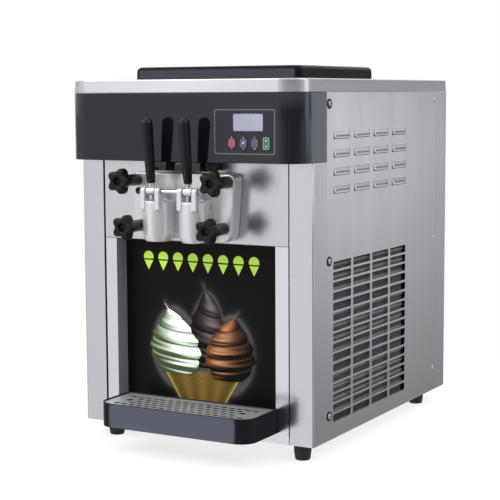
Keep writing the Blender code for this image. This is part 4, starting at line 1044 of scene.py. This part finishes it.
def drip_tray():
    """Tray with a ledge that carries the grate."""
    z0, z1 = low("drip_tray").z, high("drip_tray").z
    wall = 0.003
    inside = tray_outline(wall - 0.0005)
    tray = merged("tray_shell", [
        slab("tray_wall", [tray_outline(0), tray_outline(wall)], "Z", z0, z1, 0.0009, 3),
        slab("tray_ledge", [inside, tray_outline(wall + 0.0042)], "Z", z0 + 0.001, z1 - 0.0044),
        slab("tray_base", [inside], "Z", z0 + 0.0005, z0 + wall)])
    finish_piece(tray, "tray", ["drip_tray"], 32, body="tray")

    plate_low, plate_high = corners("drip_grate")
    centre_x = (plate_low.x + plate_high.x) / 2
    half_x, half_y = 0.0067, 0.0056          # of one oval hole
    holes = []
    for row in range(5):
        y = plate_low.y + 0.0205 + row * 0.0158
        for column in range(-8, 9 - row % 2):
            x = centre_x + (column + 0.5 * (row % 2)) * 0.0172
            if abs(x - centre_x) <= (0.116 if row in (1, 2, 3) else 0.140):
                holes.append(rectangle(x - half_x, x + half_x, y - half_y, y + half_y, 0.0045, 5))
    for sign in (-1, 1):
        holes.append(circle(centre_x + sign * 0.127 - 0.0025, FRONT - 0.053, 0.0078, 28))
    plate = slab("grate_plate", [tray_outline(wall + 0.0006)] + holes, "Z", plate_low.z, plate_high.z,
                 0.0004, 2)
    finish_piece(plate, "steel_dull", ["drip_grate"], 32, body="grate")


# ---- poster -----------------------------------------------------------------------------
POSTER_INK = (0.0300, 0.0222, 0.0212)
CREAM = {"base": (0.90, 0.95, 0.89), "shade": (0.22, 0.27, 0.18), "light": (1.0, 1.0, 1.0),
         "gloss": 0.9, "toward": Vector((0.66, -0.45, 0.60)).normalized(), "turn": 1, "smile": 0.12}
DARK = {"base": (0.19, 0.155, 0.16), "shade": (0.020, 0.010, 0.009), "light": (0.55, 0.52, 0.55),
        "gloss": 0.6, "toward": Vector((0.45, -0.40, 0.80)).normalized(), "turn": 1, "smile": 0.20}
BROWN = {"base": (0.36, 0.205, 0.115), "shade": (0.028, 0.012, 0.008), "light": (0.85, 0.62, 0.45),
         "gloss": 0.8, "toward": Vector((-0.62, -0.40, 0.68)).normalized(), "turn": -1, "smile": 0.20}


class Swirl(NamedTuple):
    """A printed soft-serve swirl: where its middle line runs and how wide it is."""
    name: str
    foot: tuple
    tip: tuple
    radius: float
    tiers: float
    hook: float
    colours: dict

    def spine(self, t):
        """Middle line at t, 0 at the foot and 1 at the tip, as (x, z); the tip curls over."""
        straight = min(1, t / 0.75)
        curl = max(0.0, t - 0.75) / 0.25
        x = self.foot[0] + (self.tip[0] - self.hook - self.foot[0]) * straight
        return x + self.hook * curl ** 1.5, self.foot[1] + (self.tip[1] - self.foot[1]) * t

    def width(self, t):
        """Radius of the swirl at t: an onion shape that runs out in a thin tip."""
        if t < 0.30:
            body = 0.60 + 0.40 * math.sin(math.pi / 2 * t / 0.30)
        else:
            body = max(0.0, math.cos(math.pi / 2 * min(1, (t - 0.30) / 0.61))) ** 0.80
        return self.radius * (0.87 * body + 0.13 * max(0.0, 1 - t) ** 0.7)


def lit(normal, colours, crease):
    """Colour of a printed surface lit from one side, as an airbrushed picture would have it."""
    toward = colours["toward"]
    front = max(0.0, normal.dot(toward))
    half = (toward + Vector((0, -1, 0))).normalized()
    shine = max(0.0, normal.dot(half)) ** 10 * colours["gloss"] * crease
    level = min(1, front * 1.3) * crease
    tone = [s + (b - s) * level for s, b in zip(colours["shade"], colours["base"])]
    return [min(1, c + (l - c) * shine) for c, l in zip(tone, colours["light"])]


def paint(bm, layer, colours):
    """Give every corner of every face the colour of its vertex."""
    for face in bm.faces:
        for loop in face.loops:
            loop[layer] = (*colours[loop.vert], 1)


def print_swirl(swirl, depth):
    """Relief of a swirl: a rope laid in tiers, shaded by its full round shape, then flattened."""
    around = 140
    along = 280
    bm = bmesh.new()
    layer = bm.loops.layers.color.new(PRINT_LAYER)
    grid = []
    creases = {}
    for i in range(along + 1):
        t = i / along
        x, z = swirl.spine(t)
        fade = 1 - min(1, max(0.0, (t - 0.78) / 0.12))
        line = []
        for j in range(around):
            angle = math.tau * j / around
            phase = swirl.tiers * t + swirl.colours["turn"] * angle / math.tau
            bulge = math.sqrt(max(0.0, 1 - (2 * (phase % 1) - 1) ** 2))
            drape = 0.5 + 0.5 * math.cos(2 * angle + 2.1 * phase)
            flute = drape * math.cos(math.tau * 2 * phase + 0.8)
            groove = (0.14 + 0.07 * drape) * (1 - bulge)
            radius = swirl.width(t) * (1 - fade * (groove - 0.032 * flute))
            rise = swirl.colours["smile"] * radius * math.sin(angle)
            vert = bm.verts.new((x + radius * math.cos(angle), 0.9 * radius * math.sin(angle), z + rise))
            depth_shade = bulge ** (0.35 + 0.55 * drape) * (0.93 + 0.07 * flute)
            creases[vert] = 0.30 + 0.70 * (depth_shade * fade + 1 - fade)
            line.append(vert)
        grid.append(line)
    quads(bm, grid)
    bm.faces.new(list(reversed(grid[0])))
    bm.faces.new(grid[-1])
    bm.normal_update()
    for face in bm.faces:
        face.smooth = True
    paint(bm, layer, {vert: lit(vert.normal, swirl.colours, creases[vert]) for vert in creases})
    flatten = 0.0011 / swirl.radius
    for vert in bm.verts:
        vert.co.y = depth + vert.co.y * flatten
    finish_piece(mesh_object(swirl.name, bm), "print", (), 180)


WAFFLE = {"top": 0.146, "low": 0.086, "top_half": 0.0905, "low_half": 0.052, "middle": -0.0015}


def waffle_half(v):
    return WAFFLE["top_half"] + (WAFFLE["low_half"] - WAFFLE["top_half"]) * v


def printed_sheet(name, rows, thickness, replaces=()):
    """Thin film through rows of (place, printed colour)."""
    bm = bmesh.new()
    layer = bm.loops.layers.color.new(PRINT_LAYER)
    colours = {}
    grid = []
    for row in rows:
        grid.append([bm.verts.new(place) for place, _ in row])
        colours.update(zip(grid[-1], (colour for _, colour in row)))
    quads(bm, grid, False)
    paint(bm, layer, colours)
    finish_piece(thickened(mesh_object(name, bm), thickness), "print", replaces, 180)


def waffle(depth):
    """Printed waffle basket with a diagonal grid and bright rolled edges."""
    across = 180
    down = 110
    gold = (0.52, 0.41, 0.185)
    bright = (0.74, 0.72, 0.33)

    def spot(u, v):
        foot = WAFFLE["low"] - 0.004 * (1 - u * u)
        bars = max(diamond(u * 2.0 + v * 1.4), diamond(u * 2.0 - v * 1.4))
        folds = 0.90 + 0.10 * math.cos(4 * math.pi * u)
        tone = (0.72 + 0.28 * bars) * (1 - 0.15 * abs(u) ** 2) * folds
        edge = max(0.0, (abs(u) - 0.88) / 0.12) * (0.55 + 0.45 * diamond(v * 4.0))
        x = WAFFLE["middle"] + u * waffle_half(v)
        z = WAFFLE["top"] + (foot - WAFFLE["top"]) * v
        return (x, depth, z), [g * tone * (1 - edge) + b * edge for g, b in zip(gold, bright)]

    rows = [[spot(2 * i / across - 1, j / down) for j in range(down + 1)] for i in range(across + 1)]
    printed_sheet("printed_waffle", rows, 0.0003)


def diamond(phase):
    """1 on a raised bar of the wafer's grid, falling off quickly beside it."""
    near = abs((phase * 5) % 1 - 0.5) * 2
    return max(0.0, 1 - near * 2.0)


def lime_motif(depth):
    """A row of small cone signs in place of lettering."""
    count = 8
    z0 = 0.3425
    rim = z0 + 0.0195
    pitch = 0.0345
    for i in range(count):
        x = -0.0050 + (i - (count - 1) / 2) * pitch
        cone = [Vector((x - 0.0105, rim)), Vector((x, z0)), Vector((x + 0.0105, rim))]
        ball = [point for point in circle(x, z0 + 0.0262, 0.0115, 36) if point.y > z0 + 0.0218]
        shapes = [slab(f"lime_{i}", [shape], "Y", depth - 0.0003, depth) for shape in (cone, ball)]
        finish_piece(merged(f"lime_sign_{i}", shapes), "lime")


def poster_sheet(swirls):
    """Near-black printed sheet with a thin pale halo round the picture."""
    box_low, box_high = corners("poster_panel")
    across = 180
    up = 170
    reach = 0.0056
    strength = 0.24
    discs = []               # the picture as discs: x, z, radius
    for swirl in swirls:
        for step in range(41):
            t = step / 40
            discs.append((*swirl.spine(t), 0.94 * swirl.width(t)))
    for step in range(21):
        v = step / 20
        z = WAFFLE["top"] + (WAFFLE["low"] - WAFFLE["top"]) * v
        for side in (-1, 0, 1):
            discs.append((WAFFLE["middle"] + side * (waffle_half(v) - 0.015), z, 0.012))
    discs = np.array(discs)
    xs = np.linspace(box_low.x, box_high.x, across + 1)
    zs = np.linspace(box_low.z, box_high.z, up + 1)
    grid_x, grid_z = np.meshgrid(xs, zs, indexing="ij")
    away = np.min(np.hypot(grid_x[..., None] - discs[:, 0], grid_z[..., None] - discs[:, 1])
                  - discs[:, 2], axis=2)
    glow = strength * np.exp(-np.maximum(away, 0) / reach)
    rows = [[((x, box_low.y, z), [ink + light for ink in POSTER_INK]) for z, light in zip(zs, line)]
            for x, line in zip(xs, glow)]
    printed_sheet("poster_film", rows[::-1], box_high.y - box_low.y, ["poster_panel"])


def poster():
    face = low("poster_panel").y
    swirls = [
        Swirl("printed_swirl_dark", (0.006, 0.160), (0.0008, 0.3200), 0.0460, 5.0, -0.012, DARK),
        Swirl("printed_swirl_cream", (-0.058, 0.143), (-0.088, 0.2790), 0.0610, 5.2, -0.020, CREAM),
        Swirl("printed_swirl_brown", (0.060, 0.140), (0.080, 0.2690), 0.0580, 5.0, 0.014, BROWN),
    ]
    poster_sheet(swirls)
    waffle(face - 0.0012)
    for swirl, forward in zip(swirls, (0.0028, 0.0046, 0.0046)):
        print_swirl(swirl, face - forward)
    lime_motif(face - 0.0002)


# ---- inside and underneath ----------------------------------------------------------------
def condenser():
    """Fin and tube coil behind the vents, and a black sheet behind the left ones: painted shade that keeps the
    left vents dark inside.
    """
    box_low, box_high = corners("condenser")
    centre = middle("condenser")
    length = box_high.y - box_low.y
    pitch = 0.0042
    bm = bmesh.new()
    for i in range(int(length / pitch)):
        place = Matrix.Translation((centre.x, box_low.y + (i + 0.5) * pitch, centre.z))
        size = Matrix.Diagonal((box_high.x - box_low.x - 0.008, 0.0007,
                                box_high.z - box_low.z - 0.002, 1))
        bmesh.ops.create_cube(bm, size=1, matrix=place @ size)
    finish_piece(from_bm("condenser_fins", bm), "fins", ["condenser"])
    tubes = []
    tube_r = 0.0042
    tube_pitch = 0.0238
    profile = [(0, length), (tube_r, length), (tube_r, 0), (0, 0)]
    z = box_high.z - 0.020
    while z > box_low.z + 0.012:
        matrix = Matrix.Translation((box_high.x - tube_r - 0.0005, box_low.y, z)) @ AXIS_TURN["Y"]
        tubes.append(turned("tube", profile, matrix, 16))
        z -= tube_pitch
    finish_piece(merged("condenser_tubes", tubes), "copper")
    # painted shade: a black sheet behind the left cover's vents
    y1 = FRONT + VENTS["y"] + VENTS["columns"] * VENTS["pitch_y"]
    outline = rectangle(FRONT + 0.070, y1, 0.055, 0.375, 0.003, 3)
    shade_sheet = slab("vent_shade_sheet", [outline], "X", -SIDE + 0.0022, -SIDE + 0.0052, 0.0006, 2)
    finish_piece(shade_sheet, "vent_shade")


def feet():
    for place in ("front_left", "front_right", "rear_left", "rear_right"):
        node = f"foot_{place}"
        centre = middle(node)
        top = high(node).z
        profile = [(0, top), (0.0168, top), (0.0170, top - 0.001), (0.0166, 0.016), (0.0158, 0.0100),
                   (0.0150, 0.0040), (0.0146, 0.0016), (0.0136, 0.0002), (0.0070, 0.0),
                   (0.0062, 0.0030), (0, 0.0030)]
        foot = turned(f"rubber_{place}", profile, Matrix.Translation((centre.x, centre.y, 0)), 40)
        finish_piece(foot, "rubber", [node], 40)


def dress(node, material):
    """Give a CAD node that stays in view its finish."""
    mesh = frame["nodes"][node].data
    mesh.materials.clear()
    mesh.materials.append(MATERIALS[material])


def dress_cad_nodes():
    """Finish every CAD node by its material slot, then the few that differ from their slot."""
    finishes = {
        "brushed_stainless": "steel_upright", "black_gloss_plastic": "gloss",
        "black_plastic": "satin", "polished_head": "head", "black_rubber": "rubber",
        "silicone_seal": "silicone", "poster_sheet": "satin", "display_lens": "gloss",
        "circuit_board": "board", "key_blue_grey": "key_blue", "white_plastic": "white",
        "insulation_foam": "foam", "black_paint": "paint", "motor_grey": "motor",
    }
    for row in frame["record"]["subparts"]:
        dress(row["node"], finishes.get(row["material_slot"], row["material_slot"]))
    for node, material in (("front_plate_upper", "steel_level"), ("front_plate_lower", "steel_pale"),
                           ("splash_recess", "recess"), ("lever_left", "steel_bright"),
                           ("lever_right", "steel_bright")):
        dress(node, material)


add_camera()
add_world()
add_lights()
add_floor()
dress_cad_nodes()
for make in (front_columns, side_covers, top_cover, hopper_lid, control_panel, control_area,
             switch_cover, dispensing_head, star_knobs, levers, drip_tray, poster, condenser, feet):
    make()
